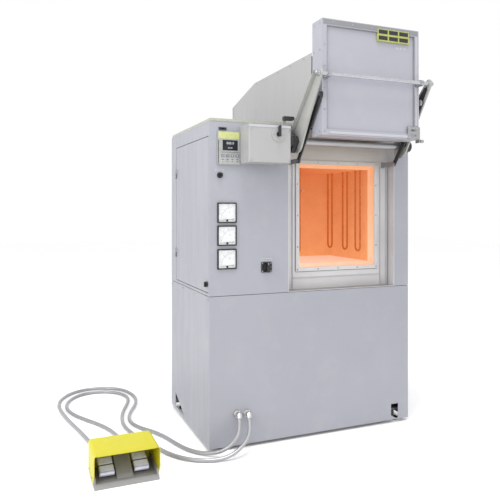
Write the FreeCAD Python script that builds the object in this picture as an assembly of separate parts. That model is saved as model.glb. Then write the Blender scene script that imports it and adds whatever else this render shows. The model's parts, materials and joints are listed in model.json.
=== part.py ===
import FreeCAD, Part
import math
import os
from FreeCAD import Vector

# Glass kiln with a powered parallel-swing door, its hood, its control bay and a foot switch.
# Millimetres. Origin on the floor under the middle of the main cabinet, +X right, +Y back, +Z up.
# The door is modelled raised (open), which is its rest pose.

os.makedirs("parts", exist_ok=True)

# ---- driving dimensions ----
HALF_W = 565.0
HALF_D = 350.0
CABINET_H = 1555.0
SHEET = 2.5
SEAM_Z = 731.0
SEAM_GAP = 3.0
PANEL_BOTTOM_Z = 16.0
BAY_X = -155.0
REAR_Y = 560.0
LID_TOP_Z = 1571.0

KILN_X = 160.0
RECESS_HALF_W = 315.0
RECESS_Y = -290.0
MOUTH_HALF_W = 226.0
MOUTH_Z0 = 844.0
MOUTH_Z1 = 1373.0
CHAMBER_HALF_W = 208.0
CHAMBER_Z0 = 862.0
CHAMBER_Z1 = 1355.0
CHAMBER_BACK_Y = 150.0
REBATE_DEPTH = 30.0
LINING_HALF_W = 312.0
ROOF_TOP_Z = 1470.0
LINING_Y0 = RECESS_Y + SHEET
LINING_Y1 = 270.0

ARM_LENGTH = 359.0
PIVOT_Y = -424.0
PIVOT_Z = 1470.0
REST_ANGLE = math.radians(52.0)
BAR_Y = PIVOT_Y - ARM_LENGTH * math.cos(REST_ANGLE)
BAR_Z = PIVOT_Z + ARM_LENGTH * math.sin(REST_ANGLE)
LINK_DY = 30.0
LINK_DZ = -90.0

DOOR_HALF_W = 270.0
DOOR_Y0 = -608.0
DOOR_Y1 = -516.0
DOOR_Z0 = 1482.0
DOOR_Z1 = 2016.0
PLUG_HALF_W = 221.5
PLUG_Z0 = 1490.8
PLUG_Z1 = 2009.8
PLUG_BACK_Y = -475.6

HOOD_FRONT_Y = -505.0
HOOD_TOP_Z = 1880.0
HOOD_BEND_Y = 191.0
HOOD_REAR_Z = 1796.0

SHAFT_R = 15.0
SLEEVE_R = 19.0
BAR_R = 9.0
ARM_X0, ARM_X1, FLANGE_X = 298.0, 306.0, 326.0
ARM_HUB_R, ARM_TIP_R = 56.0, 21.0
BEARING_X0, BEARING_X1 = 332.0, 352.0
RUNNING = 0.05

METER_X = -478.0
METER_ZS = (1125.0, 1017.0, 906.0)
METER = 96.0

FOOT_X0 = -1107.0
FOOT_X1 = -839.0
FOOT_Y0 = -505.0
FOOT_Y1 = -330.0
FOOT_H = 140.0

HOSE_D = 18.0
HOSE_1 = [
    (-430, -394, 157), (-437, -417, 121), (-458, -434, 86), (-494, -438, 54), (-541, -416, 25),
    (-600, -363, 10), (-652, -300, 9.5), (-688, -202, 9.5), (-716, -103, 9.5), (-752, -20, 9.5),
    (-800, 48, 9.5), (-836, 130, 9.5), (-838, 222, 9.5), (-808, 325, 9.5), (-762, 425, 9.5),
    (-738, 530, 9.5), (-748, 640, 9.5), (-792, 742, 9.5), (-882, 812, 9.5), (-1000, 824, 9.5),
    (-1100, 770, 9.5), (-1160, 675, 9.5), (-1178, 562, 9.5), (-1166, 435, 9.5), (-1140, 292, 9.5),
    (-1106, 150, 9.5), (-1077, 8, 9.5), (-1060, -106, 14), (-1045, -202, 30), (-1045, -290, 30)]
HOSE_2 = [
    (-380, -394, 154), (-385, -417, 118), (-403, -438, 82), (-441, -452, 49), (-494, -460, 22),
    (-556, -455, 10), (-622, -435, 9.5), (-688, -389, 9.5), (-741, -317, 9.5), (-780, -222, 9.5),
    (-823, -112, 9.5), (-856, -10, 9.5), (-880, 98, 9.5), (-877, 214, 9.5), (-848, 345, 9.5),
    (-804, 455, 9.5), (-780, 550, 9.5), (-793, 630, 9.5), (-842, 700, 9.5), (-915, 742, 9.5),
    (-1005, 742, 9.5), (-1082, 694, 9.5), (-1128, 606, 9.5), (-1138, 500, 9.5), (-1112, 390, 9.5),
    (-1058, 288, 9.5), (-998, 190, 9.5), (-956, 92, 9.5), (-932, -12, 9.5), (-917, -112, 14),
    (-905, -206, 30), (-905, -290, 30)]

# ---- places of the small parts ----
GLAND_HOLES = ((-427.0, 168.0), (-377.0, 165.0))
MAINS_X, MAINS_Z, MAINS_BORE_R = -400.0, 250.0, 11.0
FEET_X, FEET_Y = 505.0, 290.0
MAIN_SWITCH = (-273.0, 860.0)
KEY_SWITCH = (-513.0, 1302.0)
RELEASE = (-265.0, 1492.0)
LIMIT_X, LIMIT_Z = -197.0, 1575.0
DOOR_LOCK = (-317.0, 787.0)
HINGE_X, HINGE_Y = -HALF_W - 5.0, 246.0
HINGE_ZS = (900.0, 1340.0)
KEY_XS = (-502.0, -478.0, -454.0, -430.0)
KEY_Z = 1394.0
ELEMENT_XS = (-30.0, 339.0)
ELEMENT_YS = (-206.0, -73.0, 96.0)
ELEMENT_GAP = 48.0
ELEMENT_R = 5.0
ELEMENT_Z0 = 915.0
SHANK_R = 8.5
SHANK_TOP_Z = 1520.0
THERMO_Z = 1250.0
FOOT_MID = -976.0
FOOT_GLAND_XS = (-1045.0, -905.0)
PEDAL_Y, PEDAL_Z, PEDAL_REST_DEG = -352.0, 66.0, 14.0
PEDAL_XS = (-1049.0, -903.0)

AXES = {"x": Vector(1, 0, 0), "y": Vector(0, 1, 0), "z": Vector(0, 0, 1)}


# ---- helpers ----
def box(x0, x1, y0, y1, z0, z1):
    return Part.makeBox(x1 - x0, y1 - y0, z1 - z0, Vector(x0, y0, z0))


def rod(axis, start, radius, length):
    """Cylinder from the point start along +axis."""
    return Part.makeCylinder(radius, length, Vector(*start), AXES[axis])


def tube(axis, start, outer, inner, length):
    return rod(axis, start, outer, length).cut(rod(axis, start, inner, length))


def fuse(*shapes):
    joined = shapes[0].multiFuse(list(shapes[1:]))
    return joined.removeSplitter()


def yz_plate(outline, x0, x1):
    """Flat plate with the closed (y, z) outline, from x0 to x1."""
    points = [Vector(x0, y, z) for y, z in outline]
    face = Part.Face(Part.makePolygon(points + points[:1]))
    return face.extrude(Vector(x1 - x0, 0, 0))


def tapered_plate(y0, z0, r0, y1, z1, r1, x0, x1):
    """Plate with two round ends of different radius, joined by their common tangents."""
    length = math.hypot(y1 - y0, z1 - z0)
    along = math.atan2(z1 - z0, y1 - y0)
    spread = math.acos((r0 - r1) / length)
    corners = [(y0 + r0 * math.cos(along + spread), z0 + r0 * math.sin(along + spread)),
               (y1 + r1 * math.cos(along + spread), z1 + r1 * math.sin(along + spread)),
               (y1 + r1 * math.cos(along - spread), z1 + r1 * math.sin(along - spread)),
               (y0 + r0 * math.cos(along - spread), z0 + r0 * math.sin(along - spread))]
    ends = [rod("x", (x0, y0, z0), r0, x1 - x0), rod("x", (x0, y1, z1), r1, x1 - x0)]
    return fuse(yz_plate(corners, x0, x1), *ends)


def is_along(edge, axis):
    """True for a straight edge that runs along the named axis."""
    if edge.Curve.TypeId != "Part::GeomLine":
        return False
    ends = edge.Vertexes
    step = (ends[1].Point - ends[0].Point).normalize()
    return abs(abs(step.dot(AXES[axis])) - 1) < 1e-6


def top_edges(block, top_z):
    """The block's top edges that run front to back."""
    return [e for e in block.Edges if e.BoundBox.ZMin > top_z - 1 and is_along(e, "y")]


def mirrored(shape):
    """The same piece on the other side of the kiln's centre plane."""
    return shape.mirror(Vector(KILN_X, 0, 0), Vector(1, 0, 0))


def both_sides(shape):
    """A left-hand piece and its mirror image as two solids."""
    return Part.makeCompound([shape, mirrored(shape)])


def route(points, name):
    """Wire of straight runs and tangent arcs; prints the tightest arc and the length."""
    corners = [Vector(*p) for p in points]
    edges = []
    start = corners[0]
    radii = []
    for before, corner, after in zip(corners, corners[1:], corners[2:]):
        back = (before - corner).normalize()
        ahead = (after - corner).normalize()
        half_turn = (math.pi - back.getAngle(ahead)) / 2
        trim = 0.45 * min(corner.distanceToPoint(before), corner.distanceToPoint(after))
        radii.append(trim / math.tan(half_turn))
        enter = corner + back * trim
        leave = corner + ahead * trim
        middle_way = (back + ahead).normalize()
        rise = radii[-1] / math.cos(half_turn) - radii[-1]
        edges.append(Part.LineSegment(start, enter).toShape())
        edges.append(Part.Arc(enter, corner + middle_way * rise, leave).toShape())
        start = leave
    edges.append(Part.LineSegment(start, corners[-1]).toShape())
    wire = Part.Wire(edges)
    print(name, "tightest arc radius", round(min(radii), 1), "length", round(wire.Length, 1))
    print(name, "arc radii", [round(r) for r in radii])
    return wire


def hose(points, name):
    wire = route(points, name)
    first = Vector(*points[0])
    heading = Vector(*points[1]) - first
    ring = Part.Wire(Part.Circle(first, heading, HOSE_D / 2).toShape())
    solid = wire.makePipeShell([ring], True, False)
    expected = math.pi * HOSE_D ** 2 / 4 * wire.Length
    print(name, "volume over section times length", round(solid.Volume / expected, 4))
    return solid


# ---- base ----
def levelling_feet():
    feet = []
    for x in (-FEET_X, FEET_X):
        for y in (-FEET_Y, FEET_Y):
            pad = rod("z", (x, y, 0), 30, 8)
            cone = Part.makeCone(30, 14, 6, Vector(x, y, 8))
            feet.append(fuse(pad, cone, rod("z", (x, y, 8), 8, 92)))
    return Part.makeCompound(feet)


def base_frame():
    """Welded frame of corner angles and flat rails, with the deck that carries the kiln."""
    xo, yo, leg, thick = HALF_W - 3.0, HALF_D - 3.0, 45.0, 4.0
    pieces = [box(-xo, xo, -yo, yo, SEAM_Z - 1.5, SEAM_Z + 1.5)]
    for sx in (-1, 1):
        pieces.append(box(*sorted((sx * xo, sx * (xo - thick))), -yo, yo, 110, 150))
        for sy in (-1, 1):
            cx, cy = sx * xo, sy * yo
            pieces.append(box(*sorted((cx, cx - sx * leg)), *sorted((cy, cy - sy * thick)), 60, SEAM_Z))
            pieces.append(box(*sorted((cx, cx - sx * thick)), *sorted((cy, cy - sy * leg)), 60, SEAM_Z))
            plate = box(*sorted((cx, cx - sx * 90)), *sorted((cy - sy * 22, cy - sy * 90)), 60, 68)
            pieces.append(plate.cut(rod("z", (sx * FEET_X, sy * FEET_Y, 50), 8 + RUNNING, 30)))
    for sy in (-1, 1):
        pieces.append(box(-xo, xo, *sorted((sy * yo, sy * (yo - thick))), 400, 440))
        pieces.append(box(-xo, xo, sy * 80 - 15, sy * 80 + 15, 120, 138))
    return fuse(*pieces)


def lower_front_panel():
    panel = box(-HALF_W, HALF_W, -HALF_D, -HALF_D + SHEET, PANEL_BOTTOM_Z, SEAM_Z - SEAM_GAP / 2)
    slot = [(455, 100), (500, 100), (500, 22), (485, 22), (455, 40)]
    corners = [Vector(x, -HALF_D - 1, z) for x, z in slot]
    face = Part.Face(Part.makePolygon(corners + corners[:1]))
    panel = panel.cut(face.extrude(Vector(0, SHEET + 2, 0)))
    for x, z in GLAND_HOLES:
        panel = panel.cut(rod("y", (x, -HALF_D - 1, z), 10.5, SHEET + 2))
    return panel


def lower_side_panels():
    """Left and right base panels, each with a three-cornered hand hole near the back."""
    x0 = -HALF_W
    panel = box(x0, x0 + SHEET, -HALF_D + SHEET, HALF_D - SHEET, PANEL_BOTTOM_Z, SEAM_Z - SEAM_GAP / 2)
    hole = yz_plate([(265, 105), (265, 28), (96, 28), (96, 40)], x0 - 1, x0 + SHEET + 1)
    left = panel.cut(hole)
    right = left.mirror(Vector(0, 0, 0), Vector(1, 0, 0))
    return Part.makeCompound([left, right])


def rear_panels():
    lower = box(-HALF_W, HALF_W, HALF_D - SHEET, HALF_D, PANEL_BOTTOM_Z, SEAM_Z - SEAM_GAP / 2)
    lower = lower.cut(rod("y", (MAINS_X, HALF_D - 5, MAINS_Z), 16.5, 10))
    upper = box(-HALF_W, BAY_X, HALF_D - SHEET, HALF_D, SEAM_Z + SEAM_GAP / 2, CABINET_H - 2.5)
    return Part.makeCompound([lower, upper])


def transformer():
    """Supply transformer on two cross-rails: laminated core of three limbs with a winding on each."""
    x, half_w, z = 120.0, 160.0, 150.0
    core = box(x - half_w, x + half_w, -55, 55, z, z + 270)
    windings = []
    for side in (-1, 1):
        window = box(*sorted((x + side * 22, x + side * 115)), -60, 60, z + 45, z + 225)
        core = core.cut(window)
        windings.append(rod("z", (x + side * 137, 0, z + 50), 60, 170))
    windings.append(rod("z", (x, 0, z + 50), 60, 170))
    rails = [box(x - 190, x + 190, side * 80 - 15, side * 80 + 15, z - 12, z) for side in (-1, 1)]
    feet = box(x - half_w, x + half_w, -95, 95, z, z + 8)
    return fuse(core, feet, *windings, *rails)


# ---- control bay ----
def meter_hole(z):
    return box(METER_X - 46, METER_X + 46, -HALF_D - 1, -HALF_D + SHEET + 1, z - 46, z + 46)


def switchgear_front_panel():
    panel = box(-HALF_W, BAY_X, -HALF_D, -HALF_D + SHEET, SEAM_Z + SEAM_GAP / 2, CABINET_H - 2.5)
    for z in METER_ZS:
        panel = panel.cut(meter_hole(z))
    panel = panel.cut(box(-520.5, -421.5, -HALF_D - 1, -340, 1358.5, 1503.5))
    panel = panel.cut(box(-512.5, -487.5, -HALF_D - 1, -340, 1517.5, 1526.5))
    panel = panel.cut(rod("y", (MAIN_SWITCH[0], -HALF_D - 1, MAIN_SWITCH[1]), 11.2, 10))
    panel = panel.cut(rod("y", (KEY_SWITCH[0], -HALF_D - 1, KEY_SWITCH[1]), 9.2, 10))
    return panel


def upper_left_panel():
    """Left wall with the side door's opening and the folded edge that the door's lock catches."""
    panel = box(-HALF_W, -HALF_W + SHEET, -HALF_D + SHEET, HALF_D - SHEET,
                SEAM_Z + SEAM_GAP / 2, CABINET_H - 2.5)
    panel = panel.cut(box(-HALF_W - 1, -HALF_W + SHEET + 1, -338, 246, 745, 1487))
    strike = box(-HALF_W + SHEET, -548, -340.5, -338, 745, 1487)
    return fuse(panel, strike)


def switchgear_plate():
    """Mounting plate with two rails of contactors and a controller relay block."""
    plate = box(-520, -190, 262, 265, 780, 1480)
    parts = [plate]
    for row, z in enumerate((1360.0, 1120.0, 900.0)):
        parts.append(box(-510, -200, 250, 262, z - 17, z + 17))
        for i in range(4):
            x = -500 + i * 74
            parts.append(box(x, x + 60 - 6 * row, 170, 250, z - 42, z + 42))
    depth = HALF_D - SHEET - 265
    standoffs = [rod("y", (x, 265, z), 8, depth) for x in (-500, -210) for z in (800, 1460)]
    return fuse(*parts, *standoffs)


def side_door():
    """Inset pan door with folded edges and the moving hinge leaves."""
    x0 = -HALF_W + 0.5
    pan = box(x0, x0 + 13, -335, 243, 748, 1484)
    pan = pan.cut(box(x0 + SHEET, x0 + 14, -335 + SHEET, 243 - SHEET, 748 + SHEET, 1484 - SHEET))
    pan = pan.cut(rod("x", (x0 - 1, DOOR_LOCK[0], DOOR_LOCK[1]), 9, 10))
    leaves = []
    for z in HINGE_ZS:
        knuckle = tube("z", (HINGE_X, HINGE_Y, z + 0.5), 5, 2.5 + RUNNING, 24)
        flap = box(-HALF_W - 2.0, x0, 215, HINGE_Y - 3.5, z + 0.5, z + 24.5)
        pin_hole = rod("z", (HINGE_X, HINGE_Y, z - 1), 2.5 + RUNNING, 30)
        leaves.append(fuse(knuckle, flap).cut(pin_hole))
    return fuse(pan, *leaves)


def side_door_hinges():
    """Fixed halves: lower knuckle, leaf and pin."""
    halves = []
    for z in HINGE_ZS:
        knuckle = rod("z", (HINGE_X, HINGE_Y, z - 24), 5, 24)
        leaf = box(-HALF_W - 2.0, -HALF_W, HINGE_Y + 1, 275, z - 24, z)
        halves.append(fuse(knuckle, leaf, rod("z", (HINGE_X, HINGE_Y, z - 1), 2.5, 25)))
    return Part.makeCompound(halves)


def side_door_lock():
    """Cam lock: round head outside, barrel through the door and an upright cam inside."""
    y, z = DOOR_LOCK
    x0 = -HALF_W + 0.5
    head = rod("x", (x0 - 9, y, z), 13, 9)
    grip = box(x0 - 16, x0 - 9, y - 3.5, y + 3.5, z - 12, z + 12)
    barrel = rod("x", (x0, y, z), 8.9, 17)
    cam = box(x0 + 17, x0 + 20, y - 8, y + 8, z - 12, z + 24)
    return fuse(head, grip, barrel, cam)


def controller_case():
    """Flush controller: bezel in front of the panel, body behind it, pockets for screen and keys."""
    bezel = box(-526, -416, -362, -HALF_D, 1353, 1509)
    bezel = bezel.makeFillet(3, [e for e in bezel.Edges if is_along(e, "y")])
    body = box(-520, -422, -HALF_D, -290, 1359, 1503)
    case = fuse(bezel, body)
    case = case.cut(box(-503, -427, -363, -360, 1419, 1468))
    for x in KEY_XS:
        case = case.cut(box(x - 8.3, x + 8.3, -363, -356, KEY_Z - 5.8, KEY_Z + 5.8))
    return case


def controller_display():
    return box(-503, -427, -362.4, -360, 1419, 1468)


def control_key(x):
    """Press key that stands 2 mm proud of the bezel, with 2 mm of room behind it."""
    key = box(x - 8, x + 8, -364, -358, KEY_Z - 5.5, KEY_Z + 5.5)
    return key.makeFillet(1.2, [e for e in key.Edges if is_along(e, "y")])


def interface_port():
    flange = box(-519, -481, -355, -HALF_D, 1516, 1528)
    body = box(-512, -488, -HALF_D, -325, 1518, 1526)
    return fuse(flange, body).cut(box(-509, -491, -356, -335, 1520, 1524))


def meter_cases():
    cases = []
    for z in METER_ZS:
        bezel = box(METER_X - METER / 2, METER_X + METER / 2, -358, -HALF_D, z - METER / 2, z + METER / 2)
        bezel = bezel.makeFillet(3, [e for e in bezel.Edges if is_along(e, "y")])
        body = box(METER_X - 45.5, METER_X + 45.5, -HALF_D, -295, z - 45.5, z + 45.5)
        cavity = box(METER_X - 42, METER_X + 42, -359, -351, z - 42, z + 42)
        cases.append(fuse(bezel, body).cut(cavity))
    return Part.makeCompound(cases)


def meter_dials():
    """Dial plates with the spindle that each needle turns on."""
    dials = []
    for z in METER_ZS:
        plate = box(METER_X - 42, METER_X + 42, -352, -351, z - 42, z + 42)
        dials.append(fuse(plate, rod("y", (METER_X + 32, -355, z - 32), 2, 3)))
    return Part.makeCompound(dials)


def meter_lenses():
    lenses = [box(METER_X - 42, METER_X + 42, -357.8, -356.3, z - 42, z + 42) for z in METER_ZS]
    return Part.makeCompound(lenses)


def meter_needle(z):
    """Needle that points left at zero and turns up about its spindle."""
    x, zp = METER_X + 32, z - 32
    outline = [Vector(x, -354.2, zp + 1.6), Vector(x - 58, -354.2, zp + 0.4),
               Vector(x - 58, -354.2, zp - 0.4), Vector(x, -354.2, zp - 1.6)]
    blade = Part.Face(Part.makePolygon(outline + outline[:1])).extrude(Vector(0, 0.8, 0))
    hub = rod("y", (x, -354.2, zp), 5, 0.8)
    return fuse(blade, hub).cut(rod("y", (x, -356, zp), 2 + RUNNING, 6))


def switch_plates():
    """Escutcheon of the main switch and the fixed ring of the key switch."""
    x, z = MAIN_SWITCH
    plate = box(x - 28, x + 28, -354, -HALF_D, z - 25, z + 25)
    plate = plate.makeFillet(4, [e for e in plate.Edges if is_along(e, "y")])
    plate = fuse(plate, rod("y", (x, -HALF_D, z), 11, 40)).cut(rod("y", (x, -355, z), 6 + RUNNING, 46))
    kx, kz = KEY_SWITCH
    ring = fuse(tube("y", (kx, -353, kz), 14, 6 + RUNNING, 3), tube("y", (kx, -350, kz), 9, 6 + RUNNING, 35))
    return Part.makeCompound([plate, ring])


def main_switch_handle():
    x, z = MAIN_SWITCH
    skirt = rod("y", (x, -362, z), 17, 7.8)
    lever = box(x - 7, x + 7, -378, -362, z - 24, z + 24)
    lever = lever.makeFillet(3, [e for e in lever.Edges if is_along(e, "y")])
    return fuse(skirt, lever, rod("y", (x, -355, z), 6, 40))


def key_switch():
    x, z = KEY_SWITCH
    head = rod("y", (x, -359, z), 12, 5.8)
    key = box(x - 1.5, x + 1.5, -380, -359, z - 6, z + 6)
    bow = rod("x", (x - 1.5, -383, z), 10, 3)
    return fuse(head, key, bow, rod("y", (x, -354, z), 6, 34))


# ---- kiln ----
def right_casing():
    """Right front strip and right side wall, folded from one sheet."""
    z0, z1 = SEAM_Z + SEAM_GAP / 2, CABINET_H - 2.5
    front = box(KILN_X + RECESS_HALF_W, HALF_W, -HALF_D, -HALF_D + SHEET, z0, z1)
    side = box(HALF_W - SHEET, HALF_W, -HALF_D, HALF_D - SHEET, z0, z1)
    return fuse(front, side)


def recess_frame():
    """Side walls and bottom ledge of the recess that the closed door sits in."""
    z0, z1 = SEAM_Z + SEAM_GAP / 2, CABINET_H - 2.5
    left, right = KILN_X - RECESS_HALF_W, KILN_X + RECESS_HALF_W
    return fuse(box(left, left + SHEET, -HALF_D, RECESS_Y, z0, z1),
                box(right - SHEET, right, -HALF_D, RECESS_Y, z0, z1),
                box(left, right, -HALF_D, RECESS_Y, z0, z0 + SHEET))


def recess_back_plate():
    """Back of the recess with the raised frame around the kiln's mouth."""
    z0, z1 = SEAM_Z + SEAM_GAP / 2, CABINET_H - 2.5
    plate = box(KILN_X - RECESS_HALF_W, KILN_X + RECESS_HALF_W, RECESS_Y, RECESS_Y + SHEET, z0, z1)
    rim = 19.0
    frame = box(KILN_X - MOUTH_HALF_W - rim, KILN_X + MOUTH_HALF_W + rim, RECESS_Y - 6, RECESS_Y,
                MOUTH_Z0 - rim, MOUTH_Z1 + rim)
    mouth = box(KILN_X - MOUTH_HALF_W, KILN_X + MOUTH_HALF_W, RECESS_Y - 20, RECESS_Y + 20,
                MOUTH_Z0, MOUTH_Z1)
    return fuse(plate, frame).cut(mouth)


def rebate():
    return box(KILN_X - MOUTH_HALF_W, KILN_X + MOUTH_HALF_W, LINING_Y0 - 1, LINING_Y0 + REBATE_DEPTH,
               MOUTH_Z0, MOUTH_Z1)


def chamber_floor():
    slab = box(KILN_X - LINING_HALF_W, KILN_X + LINING_HALF_W, LINING_Y0, LINING_Y1,
               SEAM_Z + 1.5, CHAMBER_Z0)
    return slab.cut(rebate())


def chamber_walls():
    """Left, right and rear walls of the lining, as three blocks."""
    inner, outer = CHAMBER_HALF_W, LINING_HALF_W
    left = box(KILN_X - outer, KILN_X - inner, LINING_Y0, LINING_Y1, CHAMBER_Z0, CHAMBER_Z1)
    left = left.cut(rebate())
    rear = box(KILN_X - inner, KILN_X + inner, CHAMBER_BACK_Y, LINING_Y1, CHAMBER_Z0, CHAMBER_Z1)
    rear = rear.cut(rod("y", (KILN_X, CHAMBER_BACK_Y - 5, THERMO_Z), 5.5, 200))
    return Part.makeCompound([left, mirrored(left), rear])


def chamber_roof():
    """Roof slab with a hole for each element shank."""
    slab = box(KILN_X - LINING_HALF_W, KILN_X + LINING_HALF_W, LINING_Y0, LINING_Y1, CHAMBER_Z1, ROOF_TOP_Z)
    slab = slab.cut(rebate())
    for x, y in shank_places():
        slab = slab.cut(rod("z", (x, y, CHAMBER_Z1 - 5), 9.5, 130))
    return slab


def shank_places():
    half_gap = ELEMENT_GAP / 2
    return [(x, y + leg * half_gap)
            for x in ELEMENT_XS for y in ELEMENT_YS for leg in (-1, 1)]


def element_leg(x, y):
    """Hot leg, taper, thick shank and its collar on the roof, turned about one vertical line."""
    z0 = ELEMENT_Z0 + ELEMENT_GAP / 2
    profile = [(0, z0), (ELEMENT_R, z0), (ELEMENT_R, CHAMBER_Z1 - 10), (SHANK_R, CHAMBER_Z1),
               (SHANK_R, ROOF_TOP_Z), (13, ROOF_TOP_Z), (13, ROOF_TOP_Z + 8), (SHANK_R, ROOF_TOP_Z + 8),
               (SHANK_R, SHANK_TOP_Z), (0, SHANK_TOP_Z)]
    corners = [Vector(x, y + r, z) for r, z in profile]
    face = Part.Face(Part.makePolygon(corners + corners[:1]))
    return face.revolve(Vector(x, y, z0), AXES["z"], 360)


def heating_elements():
    """Six hairpins that hang from the roof: thick shanks above, a thin hot loop below."""
    elements = []
    radius = ELEMENT_GAP / 2
    for x in ELEMENT_XS:
        for y in ELEMENT_YS:
            centre = Vector(x, y, ELEMENT_Z0 + radius)
            ring = Part.Circle(centre + Vector(0, radius, 0), AXES["z"], ELEMENT_R)
            section = Part.Face(Part.Wire(ring.toShape()))
            bend = section.revolve(centre, AXES["x"], -180)
            elements.append(fuse(bend, element_leg(x, y - radius), element_leg(x, y + radius)))
    return Part.makeCompound(elements)


def thermocouple():
    tip = rod("y", (KILN_X, CHAMBER_BACK_Y - 45, THERMO_Z), 5, 190)
    head = rod("y", (KILN_X, 300, THERMO_Z), 22, 30)
    return fuse(tip, rod("y", (KILN_X, LINING_Y1, THERMO_Z), 9, 30), head)


def top_cover():
    """Shallow lid: a flat rim on the cabinet and a raised pan set back from its edges."""
    rim = box(-HALF_W + 1, HALF_W - 1, -HALF_D + 1, HALF_D - 1, CABINET_H - 2.5, CABINET_H + 0.5)
    pan = box(-HALF_W + 6, HALF_W - 6, -HALF_D + 6, HALF_D - 1, CABINET_H + 0.5, LID_TOP_Z)
    hollow = box(-HALF_W + 9, HALF_W - 9, -HALF_D + 9, HALF_D - 4, CABINET_H - 5, LID_TOP_Z - SHEET)
    return fuse(rim, pan).cut(hollow)


def kiln_rear_housing():
    """Welded housing behind the chamber: rear, two sides, floor and top, open to the front."""
    x0, x1, z0 = BAY_X, HALF_W, SEAM_Z + SEAM_GAP / 2
    shell = box(x0, x1, HALF_D, REAR_Y, z0, LID_TOP_Z)
    hollow = box(x0 + SHEET, x1 - SHEET, HALF_D - 1, REAR_Y - SHEET, z0 + SHEET, LID_TOP_Z - SHEET)
    return shell.cut(hollow)


# ---- hood and drive ----
def hood_shell():
    """Hood of five plates: two sides, top, sloped top and rear, open at the front and below."""
    left, right = KILN_X - DOOR_HALF_W, KILN_X + DOOR_HALF_W
    side = [(HOOD_FRONT_Y, HOOD_TOP_Z), (HOOD_BEND_Y, HOOD_TOP_Z), (REAR_Y, HOOD_REAR_Z),
            (REAR_Y, LID_TOP_Z), (-HALF_D + 6, LID_TOP_Z), (HOOD_FRONT_Y, 1690)]
    top = box(left + SHEET, right - SHEET, -455, HOOD_BEND_Y, HOOD_TOP_Z - SHEET, HOOD_TOP_Z)
    slope = yz_plate([(HOOD_BEND_Y, HOOD_TOP_Z), (REAR_Y, HOOD_REAR_Z), (REAR_Y, HOOD_REAR_Z - SHEET),
                      (HOOD_BEND_Y, HOOD_TOP_Z - SHEET)], left + SHEET, right - SHEET)
    rear = box(left + SHEET, right - SHEET, REAR_Y - SHEET, REAR_Y, LID_TOP_Z, HOOD_REAR_Z - SHEET)
    return Part.makeCompound([yz_plate(side, left, left + SHEET), yz_plate(side, right - SHEET, right),
                              top, slope, rear])


def drive_housing():
    x0, x1, y0, z0, z1 = -414.0, -200.0, -471.0, 1358.0, 1533.0
    shell = box(x0, x1, y0, -HALF_D, z0, z1)
    front_edges = [e for e in shell.Edges if e.BoundBox.YMax < y0 + 1]
    shell = shell.makeFillet(4, front_edges)
    shell = shell.cut(box(x0 + SHEET, x1 - SHEET, y0 + SHEET, -HALF_D + 1, z0 + SHEET, z1 - SHEET))
    disc = rod("y", (RELEASE[0], y0 - 3, RELEASE[1]), 35, 3)
    shell = fuse(shell, disc)
    shell = shell.cut(rod("y", (RELEASE[0], y0 - 5, RELEASE[1]), 6 + RUNNING, 10))
    shell = shell.cut(rod("x", (x1 - 5, PIVOT_Y, PIVOT_Z), SHAFT_R + 2, 10))
    tab = box(LIMIT_X - 20, x1 - 1, -420, -417, z1 - 1, LIMIT_Z + 7)
    return fuse(shell, tab)


def drive_release_handle():
    """Turn handle on the drive housing, pointing up."""
    x, z = RELEASE
    y = -474.0
    hub = rod("y", (x, y - 8, z), 11, 7.8)
    lever = box(x - 5.5, x + 5.5, y - 20, y - 8, z - 12, z + 39)
    lever = lever.makeFillet(2.5, [e for e in lever.Edges if is_along(e, "y")])
    return fuse(hub, lever, rod("y", (x, y - 1, z), 6, 12))


def gear_motor():
    """Worm gearbox on the end of the torsion shaft and its motor."""
    gearbox = box(-300, -214, -462, -HALF_D, 1425, 1515)
    gearbox = gearbox.cut(rod("x", (-297, PIVOT_Y, PIVOT_Z), SHAFT_R + RUNNING, 90))
    motor = rod("x", (-402, -410, 1452), 38, 102)
    return fuse(gearbox, motor)


def bearing_blocks():
    """Pillow blocks either side of the recess that carry the torsion shaft."""
    x0, x1, radius = KILN_X - BEARING_X1, KILN_X - BEARING_X0, 27
    foot = box(x0, x1, -362, -HALF_D, PIVOT_Z - 52, PIVOT_Z + 52)
    body = fuse(rod("x", (x0, PIVOT_Y, PIVOT_Z), radius, x1 - x0),
                yz_plate([(PIVOT_Y, PIVOT_Z + radius), (-362, PIVOT_Z + 36), (-362, PIVOT_Z - 36),
                          (PIVOT_Y, PIVOT_Z - radius)], x0, x1))
    block = fuse(foot, body).cut(rod("x", (x0 - 5, PIVOT_Y, PIVOT_Z), SHAFT_R + RUNNING, 40))
    return both_sides(block)


def limit_switch():
    """Switch block that stops the drive when the door is raised."""
    return box(LIMIT_X - 24, LIMIT_X + 24, -446, -420, LIMIT_Z - 9, LIMIT_Z + 9)


def link_brackets():
    """Fixed pivots of the stabiliser links, on the recess back plate."""
    y, z = PIVOT_Y + LINK_DY, PIVOT_Z + LINK_DZ
    inner, outer = KILN_X - 272, KILN_X - 276
    plate = fuse(box(outer, inner, y, RECESS_Y, z - 12, z + 12), rod("x", (outer, y, z), 12, inner - outer))
    foot = box(KILN_X - 292, inner, RECESS_Y - 4, RECESS_Y, z - 16, z + 16)
    pin = rod("x", (KILN_X - 286, y, z), 6, 12)
    return both_sides(fuse(plate, foot, pin))


def torsion_shaft():
    shaft = rod("x", (-296, PIVOT_Y, PIVOT_Z), SHAFT_R, 812)
    return fuse(shaft, rod("x", (KILN_X - 262, PIVOT_Y, PIVOT_Z), SLEEVE_R, 524))


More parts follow.
